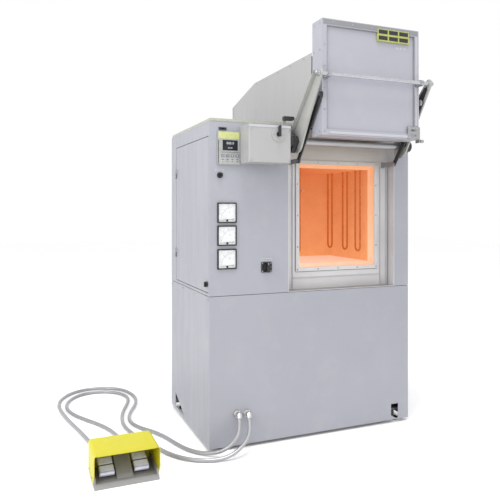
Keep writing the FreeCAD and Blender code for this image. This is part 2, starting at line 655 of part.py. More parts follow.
def drive_arms():
    """Tapered swing arms with a folded stiffening edge and a hub boss."""
    inner, outer = KILN_X - ARM_X0, KILN_X - ARM_X1
    plate = tapered_plate(PIVOT_Y, PIVOT_Z, ARM_HUB_R, BAR_Y, BAR_Z, ARM_TIP_R, outer, inner)
    along = math.atan2(BAR_Z - PIVOT_Z, BAR_Y - PIVOT_Y)
    normal = along - math.acos((ARM_HUB_R - ARM_TIP_R) / ARM_LENGTH)
    low = (PIVOT_Y + ARM_HUB_R * math.cos(normal), PIVOT_Z + ARM_HUB_R * math.sin(normal))
    high = (BAR_Y + ARM_TIP_R * math.cos(normal), BAR_Z + ARM_TIP_R * math.sin(normal))
    inset = (-4 * math.cos(normal), -4 * math.sin(normal))
    strip = [low, high, (high[0] + inset[0], high[1] + inset[1]), (low[0] + inset[0], low[1] + inset[1])]
    flange = yz_plate(strip, KILN_X - FLANGE_X, outer + 1)
    arm = fuse(plate, flange)
    arm = arm.cut(rod("x", (KILN_X - 320, PIVOT_Y, PIVOT_Z), SHAFT_R, 60))
    arm = arm.cut(rod("x", (KILN_X - 320, BAR_Y, BAR_Z), BAR_R, 60))
    return both_sides(arm)


def stop_levers():
    """Clamp levers on the shaft outside the arms; their tails point away from the arms."""
    outer, inner = KILN_X - 329, KILN_X - ARM_X1
    away = REST_ANGLE + math.radians(8)
    tail_y = PIVOT_Y + 50 * math.cos(away)
    tail_z = PIVOT_Z - 50 * math.sin(away)
    lever = tapered_plate(PIVOT_Y, PIVOT_Z, 25, tail_y, tail_z, 11, outer, inner)
    bore = rod("x", (outer - 1, PIVOT_Y, PIVOT_Z), SHAFT_R + RUNNING, 40)
    return both_sides(lever.cut(bore))


def crossbar():
    """Bar that carries the door, with a clamp collar outside each arm."""
    bar = rod("x", (KILN_X - ARM_X1 - 7, BAR_Y, BAR_Z), BAR_R, 2 * (ARM_X1 + 7))
    collar = rod("x", (KILN_X - ARM_X1 - 8, BAR_Y, BAR_Z), 14, 8)
    return fuse(bar, collar, mirrored(collar))


def stabiliser_links():
    y0, z0 = PIVOT_Y + LINK_DY, PIVOT_Z + LINK_DZ
    y1, z1 = BAR_Y + LINK_DY, BAR_Z + LINK_DZ
    inner, outer = KILN_X - 279, KILN_X - 285
    link = tapered_plate(y0, z0, 12, y1, z1, 11.9, outer, inner)
    link = link.cut(rod("x", (outer - 1, y0, z0), 6 + RUNNING, 10))
    link = link.cut(rod("x", (outer - 1, y1, z1), 6.6, 10))
    return both_sides(link)


# ---- door ----
def door_casing():
    """Sheet tray: front frame 25 mm wide around a sunk panel, open at the back."""
    x0, x1 = KILN_X - DOOR_HALF_W, KILN_X + DOOR_HALF_W
    outer = box(x0, x1, DOOR_Y0, DOOR_Y1, DOOR_Z0, DOOR_Z1)
    outer = outer.makeFillet(3, [e for e in outer.Edges if is_along(e, "y")])
    pocket = box(x0 + 25, x1 - 25, DOOR_Y0 - 1, DOOR_Y0 + 8, DOOR_Z0 + 28, DOOR_Z1 - 30)
    cavity = box(x0 + 3, x1 - 3, DOOR_Y0 + 11, DOOR_Y1 + 1, DOOR_Z0 + 3, DOOR_Z1 - 3)
    return outer.cut(pocket).cut(cavity)


def door_insulation():
    """Fibre block in the tray and the plug that enters the mouth, with chamfered edges."""
    x0, x1 = KILN_X - DOOR_HALF_W + 3, KILN_X + DOOR_HALF_W - 3
    block = box(x0, x1, DOOR_Y0 + 11, DOOR_Y1, DOOR_Z0 + 3, DOOR_Z1 - 3)
    plug = box(KILN_X - PLUG_HALF_W, KILN_X + PLUG_HALF_W, DOOR_Y1, PLUG_BACK_Y, PLUG_Z0, PLUG_Z1)
    back_edges = [e for e in plug.Edges if e.BoundBox.YMin > PLUG_BACK_Y - 1]
    return fuse(block, plug.makeChamfer(6, back_edges))


def door_fittings():
    """Bar lugs, pivot lugs of the links, and the slotted stop bracket with its pin."""
    lug_x0, lug_x1 = KILN_X - 264, KILN_X - 248
    lug = fuse(rod("x", (lug_x0, BAR_Y, BAR_Z), 14, lug_x1 - lug_x0),
               box(lug_x0, lug_x1, BAR_Y, DOOR_Y0, BAR_Z - 14, BAR_Z + 14))
    lug = lug.cut(rod("x", (lug_x0 - 5, BAR_Y, BAR_Z), BAR_R + RUNNING, 40))
    y, z = BAR_Y + LINK_DY, BAR_Z + LINK_DZ
    side = KILN_X - DOOR_HALF_W
    plate = fuse(rod("x", (side - 5, y, z), 15, 5), box(side - 5, side, y, y + 40, z - 15, z + 15))
    pivot = fuse(plate, rod("x", (side - 17, y, z), 6, 14))
    return Part.makeCompound([lug, mirrored(lug), pivot, mirrored(pivot), stop_bracket()])


def stop_bracket():
    """Folded plate round the door's lower right corner, with two slots and the stop pin."""
    right, y0, z0 = KILN_X + DOOR_HALF_W, DOOR_Y0, DOOR_Z0
    front = box(right - 66, right + 5, y0 - 4, y0, z0 + 2, z0 + 62)
    for z in (z0 + 15, z0 + 40):
        front = front.cut(box(right - 50, right - 18, y0 - 5, y0 + 1, z, z + 9))
    side = box(right, right + 5, y0 - 4, y0 + 24, z0 - 14, z0 + 62)
    pin = fuse(rod("x", (right + 4, y0 + 9, z0 - 5), 4.5, 14),
               rod("x", (right + 15, y0 + 9, z0 - 5), 8, 18))
    return fuse(front, side, pin)


# ---- foot switch and hoses ----
def foot_switch_base():
    """Cast base: ramped front edge, side rails, sloped middle housing and the pedals' spindle."""
    x0, x1, y0, y1 = FOOT_X0, FOOT_X1, FOOT_Y0, FOOT_Y1
    plate = yz_plate([(y0 - 13, 0), (y1, 0), (y1, 14), (y0 + 8, 14), (y0 - 13, 4)], x0, x1)
    rail = box(x0, x0 + 7, y0 + 8, y1, 14, 40)
    far_rail = box(x1 - 7, x1, y0 + 8, y1, 14, 40)
    middle = FOOT_MID
    slope = [(-482, 14), (-482, 18), (-356, 74), (-336, 74), (-336, 14)]
    housing = yz_plate(slope, middle - 34, middle + 34)
    spindle = rod("x", (x0 + 4, PEDAL_Y, PEDAL_Z), 5, x1 - x0 - 8)
    return fuse(plate, rail, far_rail, housing, spindle)


def foot_switch_guard():
    """Bent yellow hood over the pedals, open at the front, with rounded top edges."""
    x0, x1, y0, y1 = FOOT_X0 - 3, FOOT_X1 + 3, FOOT_Y0 - 13, FOOT_Y1 + 3
    outer = box(x0, x1, y0, y1, 14, FOOT_H)
    outer = outer.makeFillet(14, top_edges(outer, FOOT_H))
    inner = box(x0 + 3, x1 - 3, y0 - 1, y1 - 3, 0, FOOT_H - 3)
    inner = inner.makeFillet(11, top_edges(inner, FOOT_H - 3))
    guard = outer.cut(inner)
    side_cut = yz_plate([(y0 - 1, 0), (y0 - 1, 60), (y0 + 30, 14), (y0 + 30, 0)], x0 - 1, x1 + 1)
    guard = guard.cut(side_cut)
    for x in FOOT_GLAND_XS:
        guard = guard.cut(rod("y", (x, y1 - 5, 30), 10.5, 10))
    return guard


def foot_pedal(x):
    """Ribbed pedal sloping down to the front, hinged on the spindle at its rear."""
    half_w, length, thick = 31.0, 112.0, 7.0
    front = PEDAL_Y - length
    slab = box(x - half_w, x + half_w, front, PEDAL_Y, PEDAL_Z - 4, PEDAL_Z - 4 + thick)
    ribs = []
    for i in range(7):
        y = front + 8 + i * 13
        ribs.append(box(x - half_w + 4, x + half_w - 4, y, y + 6, PEDAL_Z + 3, PEDAL_Z + 5.5))
    toe = box(x - half_w, x + half_w, front, front + 5, PEDAL_Z - 14, PEDAL_Z - 4)
    eye = rod("x", (x - half_w, PEDAL_Y, PEDAL_Z), 9, 2 * half_w)
    pedal = fuse(slab, toe, eye, *ribs)
    pedal = pedal.cut(rod("x", (x - half_w - 1, PEDAL_Y, PEDAL_Z), 5 + RUNNING, 2 * half_w + 2))
    pedal.rotate(Vector(x, PEDAL_Y, PEDAL_Z), Vector(1, 0, 0), PEDAL_REST_DEG)
    return pedal


def elbow_gland(x, z, end, heading):
    """Panel gland with a bent sleeve whose open end meets a hose."""
    nut = Part.makeCylinder(16, 10, Vector(x, -HALF_D - 10, z), Vector(0, 1, 0))
    stem = rod("y", (x, -HALF_D, z), 10, 30)
    locknut = tube("y", (x, -HALF_D + SHEET, z), 15, 10, 6)
    tip = Vector(*end)
    back = Vector(*heading).normalize() * -1
    start = Vector(x, -HALF_D - 10, z)
    knee = tip + back * 18
    sleeve = Part.makeCylinder(13, 18, knee, back * -1)
    joint = Part.makeSphere(13, knee)
    reach = knee - start
    neck = Part.makeCylinder(13, reach.Length, start, reach)
    return fuse(nut, stem, locknut, neck, joint, sleeve)


def cable_glands():
    """Elbow glands of the hoses, the mains inlet at the rear and the foot switch's own glands."""
    glands = []
    for (x, z), points in zip(GLAND_HOLES, (HOSE_1, HOSE_2)):
        heading = [b - a for a, b in zip(points[0], points[1])]
        glands.append(elbow_gland(x, z, points[0], heading))
    nut = rod("y", (MAINS_X, HALF_D, MAINS_Z), 22, 10)
    sleeve = rod("y", (MAINS_X, HALF_D + 10, MAINS_Z), 19, 22)
    stem = rod("y", (MAINS_X, HALF_D - 18, MAINS_Z), 16, 18)
    mains = fuse(nut, sleeve, stem).cut(rod("y", (MAINS_X, HALF_D - 20, MAINS_Z), MAINS_BORE_R, 60))
    for x, points in zip(FOOT_GLAND_XS, (HOSE_1, HOSE_2)):
        y1 = FOOT_Y1 + 3
        sleeve = rod("y", (x, y1 + 9, 30), 12, points[-1][1] - y1 - 9)
        glands.append(fuse(rod("y", (x, y1, 30), 15, 9), sleeve, rod("y", (x, y1 - 12, 30), 10, 12)))
    return Part.makeCompound(glands + [mains])


PARTS = {
    "levelling_feet": levelling_feet, "base_frame": base_frame,
    "lower_front_panel": lower_front_panel, "lower_side_panels": lower_side_panels,
    "rear_panels": rear_panels, "transformer": transformer,
    "switchgear_front_panel": switchgear_front_panel, "upper_left_panel": upper_left_panel,
    "switchgear_plate": switchgear_plate, "side_door": side_door,
    "side_door_hinges": side_door_hinges, "side_door_lock": side_door_lock,
    "controller_case": controller_case, "controller_display": controller_display,
    "interface_port": interface_port, "meter_cases": meter_cases, "meter_dials": meter_dials,
    "meter_lenses": meter_lenses, "switch_plates": switch_plates,
    "main_switch_handle": main_switch_handle, "key_switch": key_switch,
    "right_casing": right_casing, "recess_frame": recess_frame,
    "recess_back_plate": recess_back_plate, "chamber_floor": chamber_floor,
    "chamber_walls": chamber_walls, "chamber_roof": chamber_roof,
    "heating_elements": heating_elements, "thermocouple": thermocouple, "top_cover": top_cover,
    "kiln_rear_housing": kiln_rear_housing, "hood_shell": hood_shell,
    "drive_housing": drive_housing, "drive_release_handle": drive_release_handle,
    "gear_motor": gear_motor, "bearing_blocks": bearing_blocks, "limit_switch": limit_switch,
    "link_brackets": link_brackets, "torsion_shaft": torsion_shaft, "drive_arms": drive_arms,
    "stop_levers": stop_levers, "crossbar": crossbar, "stabiliser_links": stabiliser_links,
    "door_casing": door_casing,
    "door_insulation": door_insulation, "door_fittings": door_fittings,
    "foot_switch_base": foot_switch_base, "foot_switch_guard": foot_switch_guard,
    "cable_glands": cable_glands,
}


def export(name, shape):
    shape.exportStep("parts/" + name + ".step")
    print(name, "solids", len(shape.Solids), "valid", shape.isValid())


for part_name, make in PARTS.items():
    export(part_name, make())
for number, z in enumerate(METER_ZS, start=1):
    export("meter_needle_%d" % number, meter_needle(z))
for number, x in enumerate(KEY_XS, start=1):
    export("control_key_%d" % number, control_key(x))
for side, x in zip(("left", "right"), PEDAL_XS):
    export("pedal_" + side, foot_pedal(x))
export("foot_hose_1", hose(HOSE_1, "foot_hose_1"))
export("foot_hose_2", hose(HOSE_2, "foot_hose_2"))
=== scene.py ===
import json
import math
import bmesh
import bpy
from mathutils import Matrix, Vector


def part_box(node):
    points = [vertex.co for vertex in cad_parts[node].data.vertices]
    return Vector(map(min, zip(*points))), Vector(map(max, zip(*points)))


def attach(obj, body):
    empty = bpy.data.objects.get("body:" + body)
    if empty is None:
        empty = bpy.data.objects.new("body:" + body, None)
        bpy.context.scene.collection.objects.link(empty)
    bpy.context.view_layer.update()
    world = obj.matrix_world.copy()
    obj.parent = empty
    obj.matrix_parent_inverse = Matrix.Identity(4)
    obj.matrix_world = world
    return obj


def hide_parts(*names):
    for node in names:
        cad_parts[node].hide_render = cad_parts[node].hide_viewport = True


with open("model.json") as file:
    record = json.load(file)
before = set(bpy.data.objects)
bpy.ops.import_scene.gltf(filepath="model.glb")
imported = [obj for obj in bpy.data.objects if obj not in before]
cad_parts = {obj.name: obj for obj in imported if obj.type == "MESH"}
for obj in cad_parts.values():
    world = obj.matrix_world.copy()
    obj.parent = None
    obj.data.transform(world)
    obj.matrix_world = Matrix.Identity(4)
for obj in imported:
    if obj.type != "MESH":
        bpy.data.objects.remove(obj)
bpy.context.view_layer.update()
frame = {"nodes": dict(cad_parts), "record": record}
NODES = frame["nodes"]
MM = 0.001


def ends(name, axis):
    """Low and high end of a CAD node along an axis, in millimetres."""
    low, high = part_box(name)
    return round(getattr(low, axis) / MM, 1), round(getattr(high, axis) / MM, 1)


# ---- planes taken from the frame, in millimetres: x to the right, y to the rear, z up ----
LEFT, RIGHT = ends("lower_front_panel", "x")
FRONT = ends("lower_front_panel", "y")[0]
REAR = ends("rear_panels", "y")[1]
HOUSING_LEFT = ends("kiln_rear_housing", "x")[0]
HOUSING_REAR = ends("kiln_rear_housing", "y")[1]
LID_TOP = ends("top_cover", "z")[1]
KILN_X = sum(ends("recess_back_plate", "x")) / 2
RECESS_BACK = ends("recess_frame", "y")[1]
MOUTH_FRAME = ends("recess_back_plate", "y")[0]
CASE_FACE = ends("controller_case", "y")[0]
METER_FACE = ends("meter_cases", "y")[0]
HOOD_LEFT, HOOD_RIGHT = ends("hood_shell", "x")
HOOD_TOP = ends("hood_shell", "z")[1]
DOOR_LEFT, DOOR_RIGHT = ends("door_casing", "x")
DOOR_RIM = ends("door_casing", "y")[0]

# ---- the hoses' diameter and their routes as given points, in metres ----
HOSE_D = 0.018
HOSE_1 = [
    (-0.430, -0.394, 0.157), (-0.437, -0.417, 0.121), (-0.458, -0.434, 0.086), (-0.494, -0.438, 0.054),
    (-0.541, -0.416, 0.025), (-0.600, -0.363, 0.010), (-0.652, -0.300, 0.0095), (-0.688, -0.202, 0.0095),
    (-0.716, -0.103, 0.0095), (-0.752, -0.020, 0.0095), (-0.800, 0.048, 0.0095), (-0.836, 0.130, 0.0095),
    (-0.838, 0.222, 0.0095), (-0.808, 0.325, 0.0095), (-0.762, 0.425, 0.0095), (-0.738, 0.530, 0.0095),
    (-0.748, 0.640, 0.0095), (-0.792, 0.742, 0.0095), (-0.882, 0.812, 0.0095), (-1.000, 0.824, 0.0095),
    (-1.100, 0.770, 0.0095), (-1.160, 0.675, 0.0095), (-1.178, 0.562, 0.0095), (-1.166, 0.435, 0.0095),
    (-1.140, 0.292, 0.0095), (-1.106, 0.150, 0.0095), (-1.077, 0.008, 0.0095), (-1.060, -0.106, 0.014),
    (-1.045, -0.202, 0.030), (-1.045, -0.290, 0.030)]
HOSE_2 = [
    (-0.380, -0.394, 0.154), (-0.385, -0.417, 0.118), (-0.403, -0.438, 0.082), (-0.441, -0.452, 0.049),
    (-0.494, -0.460, 0.022), (-0.556, -0.455, 0.010), (-0.622, -0.435, 0.0095), (-0.688, -0.389, 0.0095),
    (-0.741, -0.317, 0.0095), (-0.780, -0.222, 0.0095), (-0.823, -0.112, 0.0095), (-0.856, -0.010, 0.0095),
    (-0.880, 0.098, 0.0095), (-0.877, 0.214, 0.0095), (-0.848, 0.345, 0.0095), (-0.804, 0.455, 0.0095),
    (-0.780, 0.550, 0.0095), (-0.793, 0.630, 0.0095), (-0.842, 0.700, 0.0095), (-0.915, 0.742, 0.0095),
    (-1.005, 0.742, 0.0095), (-1.082, 0.694, 0.0095), (-1.128, 0.606, 0.0095), (-1.138, 0.500, 0.0095),
    (-1.112, 0.390, 0.0095), (-1.058, 0.288, 0.0095), (-0.998, 0.190, 0.0095), (-0.956, 0.092, 0.0095),
    (-0.932, -0.012, 0.0095), (-0.917, -0.112, 0.014), (-0.905, -0.206, 0.030), (-0.905, -0.290, 0.030)]


# ---- shader helpers ----
def node(tree, kind, inputs=None, **settings):
    """Adds a node; an input given as a socket is linked, any other is set as its value."""
    made = tree.nodes.new(kind)
    for key, value in settings.items():
        setattr(made, key, value)
    for key, value in (inputs or {}).items():
        if isinstance(value, bpy.types.NodeSocket):
            tree.links.new(value, made.inputs[key])
        else:
            made.inputs[key].default_value = value
    return made


def shader(name):
    material = bpy.data.materials.new(name)
    material.use_nodes = True
    tree = material.node_tree
    return material, tree, tree.nodes["Principled BSDF"]


def place(tree, stretch=(1, 1, 1)):
    """Position on the object in metres, stretched along its axes."""
    where = node(tree, "ShaderNodeTexCoord").outputs["Object"]
    return node(tree, "ShaderNodeMapping", {"Vector": where, "Scale": stretch}).outputs[0]


def noise(tree, where, scale, detail=2.0, rough=0.5):
    made = node(tree, "ShaderNodeTexNoise",
                {"Vector": where, "Scale": scale, "Detail": detail, "Roughness": rough})
    return made.outputs["Fac"]


def ramp(tree, factor, *stops):
    """Colour ramp through (position, colour) stops; a bare number is a grey."""
    made = node(tree, "ShaderNodeValToRGB", {"Fac": factor})
    elements = made.color_ramp.elements
    while len(elements) < len(stops):
        elements.new(0.5)
    for element, (position, colour) in zip(elements, stops):
        grey = (colour,) * 3 if isinstance(colour, (int, float)) else colour
        element.position = position
        element.color = (*grey, 1)
    return made.outputs["Color"]


def mix(tree, factor, first, second, blend="MIX"):
    made = node(tree, "ShaderNodeMix", data_type="RGBA", blend_type=blend)
    for index, value in ((0, factor), (6, first), (7, second)):
        if isinstance(value, bpy.types.NodeSocket):
            tree.links.new(value, made.inputs[index])
        elif index == 0:
            made.inputs[index].default_value = value
        else:
            made.inputs[index].default_value = (*value, 1)
    return made.outputs[2]


def maths(tree, operation, *values):
    made = node(tree, "ShaderNodeMath", operation=operation)
    for socket, value in zip(made.inputs, values):
        if isinstance(value, bpy.types.NodeSocket):
            tree.links.new(value, socket)
        else:
            socket.default_value = value
    return made.outputs[0]


def bump(tree, bsdf, height, strength, distance):
    made = node(tree, "ShaderNodeBump", {"Height": height, "Strength": strength, "Distance": distance})
    tree.links.new(made.outputs["Normal"], bsdf.inputs["Normal"])


def scaled(colour, factor):
    return tuple(min(1.0, c * factor) for c in colour)


# ---- materials ----
# Planes inside the lining's thickness that part its hot inner side from its cold outer side.
INNER_HALF_WIDTH, INNER_REAR, INNER_TOP = 0.25, 0.2, 1.42


def painted(name, colour, roughness=0.42, grime=(0.45, 0.44, 0.42)):
    """Powder coat: faint clouding, orange-peel bump and slightly rubbed, duller patches."""
    material, tree, bsdf = shader(name)
    where = place(tree)
    cloud = noise(tree, where, 2.1, 3.0)
    base = ramp(tree, cloud, (0.3, scaled(colour, 0.965)), (0.7, scaled(colour, 1.03)))
    dust = ramp(tree, noise(tree, where, 9.0, 6.0, 0.65), (0.52, 0), (0.78, 0.16))
    tree.links.new(mix(tree, dust, base, grime), bsdf.inputs["Base Color"])
    streaks = noise(tree, place(tree, (1, 1, 0.12)), 26.0, 4.0)
    rough = ramp(tree, streaks, (0.3, roughness - 0.07), (0.75, roughness + 0.1))
    tree.links.new(rough, bsdf.inputs["Roughness"])
    bump(tree, bsdf, noise(tree, where, 700.0, 1.0), 0.12, 0.0004)
    return material


def brushed(name, colour, roughness=0.3, stretch=(1, 1, 0.03), metallic=1.0, tint=None):
    """Brushed metal with grain along the short axis of the stretch."""
    material, tree, bsdf = shader(name)
    bsdf.inputs["Metallic"].default_value = metallic
    where = place(tree)
    grain = noise(tree, place(tree, stretch), 420.0, 3.0, 0.6)
    cloud = noise(tree, where, 4.0, 4.0)
    base = ramp(tree, cloud, (0.3, scaled(colour, 0.9)), (0.7, scaled(colour, 1.06)))
    if tint:
        base = tint(tree, where, base)
    tree.links.new(base, bsdf.inputs["Base Color"])
    rough = ramp(tree, grain, (0.3, roughness - 0.06), (0.7, roughness + 0.12))
    tree.links.new(rough, bsdf.inputs["Roughness"])
    bump(tree, bsdf, grain, 0.18, 0.0003)
    return material


def moulded(name, colour, roughness=0.45, coat=0.0):
    """Moulded plastic or rubber: fine spark-eroded grain and uneven gloss."""
    material, tree, bsdf = shader(name)
    where = place(tree)
    mottle = noise(tree, where, 40.0, 3.0)
    base = ramp(tree, mottle, (0.3, scaled(colour, 0.88)), (0.7, scaled(colour, 1.15)))
    tree.links.new(base, bsdf.inputs["Base Color"])
    rough = ramp(tree, noise(tree, where, 90.0, 3.0), (0.3, roughness - 0.08), (0.7, roughness + 0.1))
    tree.links.new(rough, bsdf.inputs["Roughness"])
    bsdf.inputs["Coat Weight"].default_value = coat
    bump(tree, bsdf, noise(tree, where, 1600.0, 1.0), 0.15, 0.0002)
    return material


def off_centre(tree, split):
    """Sideways distance from the middle of the kiln's mouth, in metres."""
    return maths(tree, "ABSOLUTE", maths(tree, "SUBTRACT", split.outputs[0], KILN_X * MM))


def between(tree, value, low, high):
    """Share of the way from low to high that a value has come, kept within 0 and 1."""
    return node(tree, "ShaderNodeMapRange",
                {"Value": value, "From Min": low, "From Max": high}).outputs[0]


def heat_tint_and_painted_shade(tree, where, base):
    """Straw-coloured heat tint on the sheet close to the mouth, and painted shade darkening its upward
    faces.
    """
    facing = node(tree, "ShaderNodeTexCoord").outputs["Normal"]
    upward = node(tree, "ShaderNodeSeparateXYZ", {"Vector": facing}).outputs[2]
    # painted shade: faces that point upward are turned a darker flat grey
    base = mix(tree, ramp(tree, upward, (0.5, 0.0), (0.9, 1.0)), base, (0.31, 0.30, 0.30))
    split = node(tree, "ShaderNodeSeparateXYZ", {"Vector": where})
    beside = ramp(tree, off_centre(tree, split), (0.25, 0.5), (0.3, 0.0))
    near = maths(tree, "MULTIPLY", beside, between(tree, split.outputs[2], 1.3, 1.42))
    return mix(tree, near, base, (0.40, 0.33, 0.25))


def glowing(name, low, high, top_colour, base_colour, strength):
    """Fibre board at working heat inside the chamber and cold outside it; the glow runs from
    top_colour at high to base_colour at low."""
    material, tree, bsdf = shader(name)
    where = place(tree)
    split = node(tree, "ShaderNodeSeparateXYZ", {"Vector": where})
    warm = mix(tree, between(tree, split.outputs[2], low, high), base_colour, top_colour)
    sideways = between(tree, split.outputs[0], -0.05, 0.37)
    bright = mix(tree, maths(tree, "MULTIPLY", sideways, 0.3), warm, (0.8, 0.36, 0.16))
    mottle = ramp(tree, noise(tree, where, 14.0, 5.0, 0.6), (0.3, 0.9), (0.7, 1.06))
    glow = mix(tree, 1.0, bright, mottle, "MULTIPLY")
    tree.links.new(glow, bsdf.inputs["Emission Color"])
    inner = maths(tree, "LESS_THAN", off_centre(tree, split), INNER_HALF_WIDTH)
    for output, limit in ((split.outputs[1], INNER_REAR), (split.outputs[2], INNER_TOP)):
        inner = maths(tree, "MULTIPLY", inner, maths(tree, "LESS_THAN", output, limit))
    tree.links.new(maths(tree, "MULTIPLY", inner, strength), bsdf.inputs["Emission Strength"])
    fibre = noise(tree, place(tree, (1, 1, 0.3)), 240.0, 5.0, 0.7)
    hot = ramp(tree, fibre, (0.3, (0.30, 0.14, 0.06)), (0.7, (0.42, 0.2, 0.09)))
    cold = ramp(tree, fibre, (0.3, (0.62, 0.60, 0.55)), (0.7, (0.75, 0.73, 0.68)))
    tree.links.new(mix(tree, inner, cold, hot), bsdf.inputs["Base Color"])
    bsdf.inputs["Roughness"].default_value = 0.95
    bump(tree, bsdf, fibre, 0.35, 0.002)
    return material


def fibre_board(name, colour):
    material, tree, bsdf = shader(name)
    where = place(tree)
    fibre = noise(tree, where, 260.0, 6.0, 0.7)
    stain = ramp(tree, noise(tree, where, 7.0, 4.0), (0.45, 0), (0.8, 0.35))
    base = ramp(tree, fibre, (0.3, scaled(colour, 0.86)), (0.7, colour))
    tree.links.new(mix(tree, stain, base, (0.62, 0.5, 0.38)), bsdf.inputs["Base Color"])
    bsdf.inputs["Roughness"].default_value = 0.95
    bump(tree, bsdf, fibre, 0.5, 0.002)
    return material


def element_metal():
    """Oxidised heating rod glowing dark red, in patches that vary at random."""
    material, tree, bsdf = shader("element_glow")
    where = place(tree)
    scale = noise(tree, where, 160.0, 4.0)
    tree.links.new(ramp(tree, scale, (0.3, (0.09, 0.025, 0.01)), (0.7, (0.2, 0.06, 0.02))),
                   bsdf.inputs["Base Color"])
    tree.links.new(ramp(tree, scale, (0.3, (0.46, 0.085, 0.012)), (0.7, (0.58, 0.13, 0.02))),
                   bsdf.inputs["Emission Color"])
    bsdf.inputs["Emission Strength"].default_value = 0.75
    bsdf.inputs["Roughness"].default_value = 0.7
    bump(tree, bsdf, scale, 0.4, 0.0008)
    return material


def clear_cover():
    material, tree, bsdf = shader("clear_cover")
    bsdf.inputs["Base Color"].default_value = (0.93, 0.97, 0.97, 1)
    bsdf.inputs["Alpha"].default_value = 0.16
    bsdf.inputs["IOR"].default_value = 1.5
    rough = ramp(tree, noise(tree, place(tree), 60.0, 3.0), (0.3, 0.04), (0.7, 0.12))
    tree.links.new(rough, bsdf.inputs["Roughness"])
    return material


def screen_glass():
    material, tree, bsdf = shader("screen_glass")
    cloud = noise(tree, place(tree), 30.0, 2.0)
    tint = ramp(tree, cloud, (0.3, (0.008, 0.009, 0.014)), (0.7, (0.02, 0.022, 0.03)))
    tree.links.new(tint, bsdf.inputs["Base Color"])
    bsdf.inputs["Roughness"].default_value = 0.3
    bsdf.inputs["Specular IOR Level"].default_value = 0.2
    return material


MATERIALS = {
    "panel_paint": painted("panel_paint", (0.302, 0.308, 0.345)),
    "hood_paint": painted("hood_paint", (0.338, 0.337, 0.335)),
    "door_paint": painted("door_paint", (0.33, 0.333, 0.375)),
    "arm_paint": painted("arm_paint", (0.335, 0.337, 0.322), 0.38),
    "black_steel": painted("black_steel", (0.018, 0.018, 0.02), 0.4, (0.05, 0.05, 0.05)),
    "stainless": brushed("stainless", (0.54, 0.53, 0.53), 0.5, metallic=0.2, tint=heat_tint_and_painted_shade),
    "frame_steel": painted("frame_steel", (0.12, 0.125, 0.13), 0.5),
    "bright_steel": brushed("bright_steel", (0.46, 0.47, 0.50), 0.26, (0.05, 1, 1), 0.7),
    "zinc_steel": brushed("zinc_steel", (0.36, 0.365, 0.375), 0.36, (0.05, 1, 1), 0.85),
    "cast_black": moulded("cast_black", (0.02, 0.02, 0.022), 0.5),
    "fibre_lining": fibre_board("fibre_lining", (0.85, 0.82, 0.76)),
    "element": element_metal(),
    "probe": fibre_board("probe", (0.75, 0.66, 0.55)),
    "black_plastic": moulded("black_plastic", (0.012, 0.012, 0.014), 0.4),
    "white_plastic": moulded("white_plastic", (0.30, 0.31, 0.30), 0.42),
    "key_plastic": moulded("key_plastic", (0.16, 0.18, 0.22), 0.42),
    "screen": screen_glass(),
    "dial": moulded("dial", (0.62, 0.63, 0.63), 0.5),
    "lens": clear_cover(),
    "needle": moulded("needle", (0.02, 0.02, 0.02), 0.4),
    "winding": brushed("winding", (0.35, 0.13, 0.05), 0.5, (1, 1, 20), 0.3),
    "relay_plastic": moulded("relay_plastic", (0.3, 0.31, 0.33), 0.5),
    "pad_rubber": moulded("pad_rubber", (0.02, 0.02, 0.02), 0.7),
    "guard_yellow": painted("guard_yellow", (0.52, 0.47, 0.004), 0.45, (0.35, 0.3, 0.05)),
    "foot_grey": painted("foot_grey", (0.27, 0.265, 0.275), 0.5),
    "pedal": brushed("pedal", (0.62, 0.62, 0.66), 0.42, (0.05, 1, 1), 0.3),
    "gland": brushed("gland", (0.62, 0.62, 0.61), 0.28, (0.1, 1, 1)),
    "hose": brushed("hose", (0.40, 0.40, 0.41), 0.34, (1, 1, 1), 0.75),
    "lock_black": moulded("lock_black", (0.012, 0.012, 0.012), 0.35),
}
CHAMBER_LOW, CHAMBER_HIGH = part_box("chamber_walls")
ORANGE, AMBER, PEACH = (0.39, 0.055, 0.005), (0.64, 0.22, 0.08), (0.86, 0.62, 0.48)
GLOW = {
    "chamber_walls": glowing("glow_walls", CHAMBER_LOW.z, CHAMBER_HIGH.z, ORANGE, AMBER, 0.85),
    "chamber_floor": glowing("glow_floor", CHAMBER_LOW.z, CHAMBER_HIGH.z, PEACH, PEACH, 0.8),
    "chamber_roof": glowing("glow_roof", CHAMBER_LOW.z, CHAMBER_HIGH.z, ORANGE, ORANGE, 0.9),
}


def dress_cad_nodes():
    for part in frame["record"]["subparts"]:
        name = part["node"]
        cad = NODES[name]
        material = GLOW.get(name, MATERIALS[part["material_slot"]])
        if not cad.data.materials:
            cad.data.materials.append(material)
        for index in range(len(cad.data.materials)):
            cad.data.materials[index] = material


# ---- mesh helpers ----
def piece(name, bm, body, slot, material=None, smooth_deg=35):
    """Turns a bmesh into an object that rides on a body and takes its slot's material."""
    bmesh.ops.recalc_face_normals(bm, faces=bm.faces)
    mesh = bpy.data.meshes.new(name)
    bm.to_mesh(mesh)
    bm.free()
    mesh.materials.append(material or MATERIALS[slot])
    mesh.shade_smooth()
    mesh.set_sharp_from_angle(angle=math.radians(smooth_deg))
    made = bpy.data.objects.new(name, mesh)
    bpy.context.scene.collection.objects.link(made)
    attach(made, body)
    return made


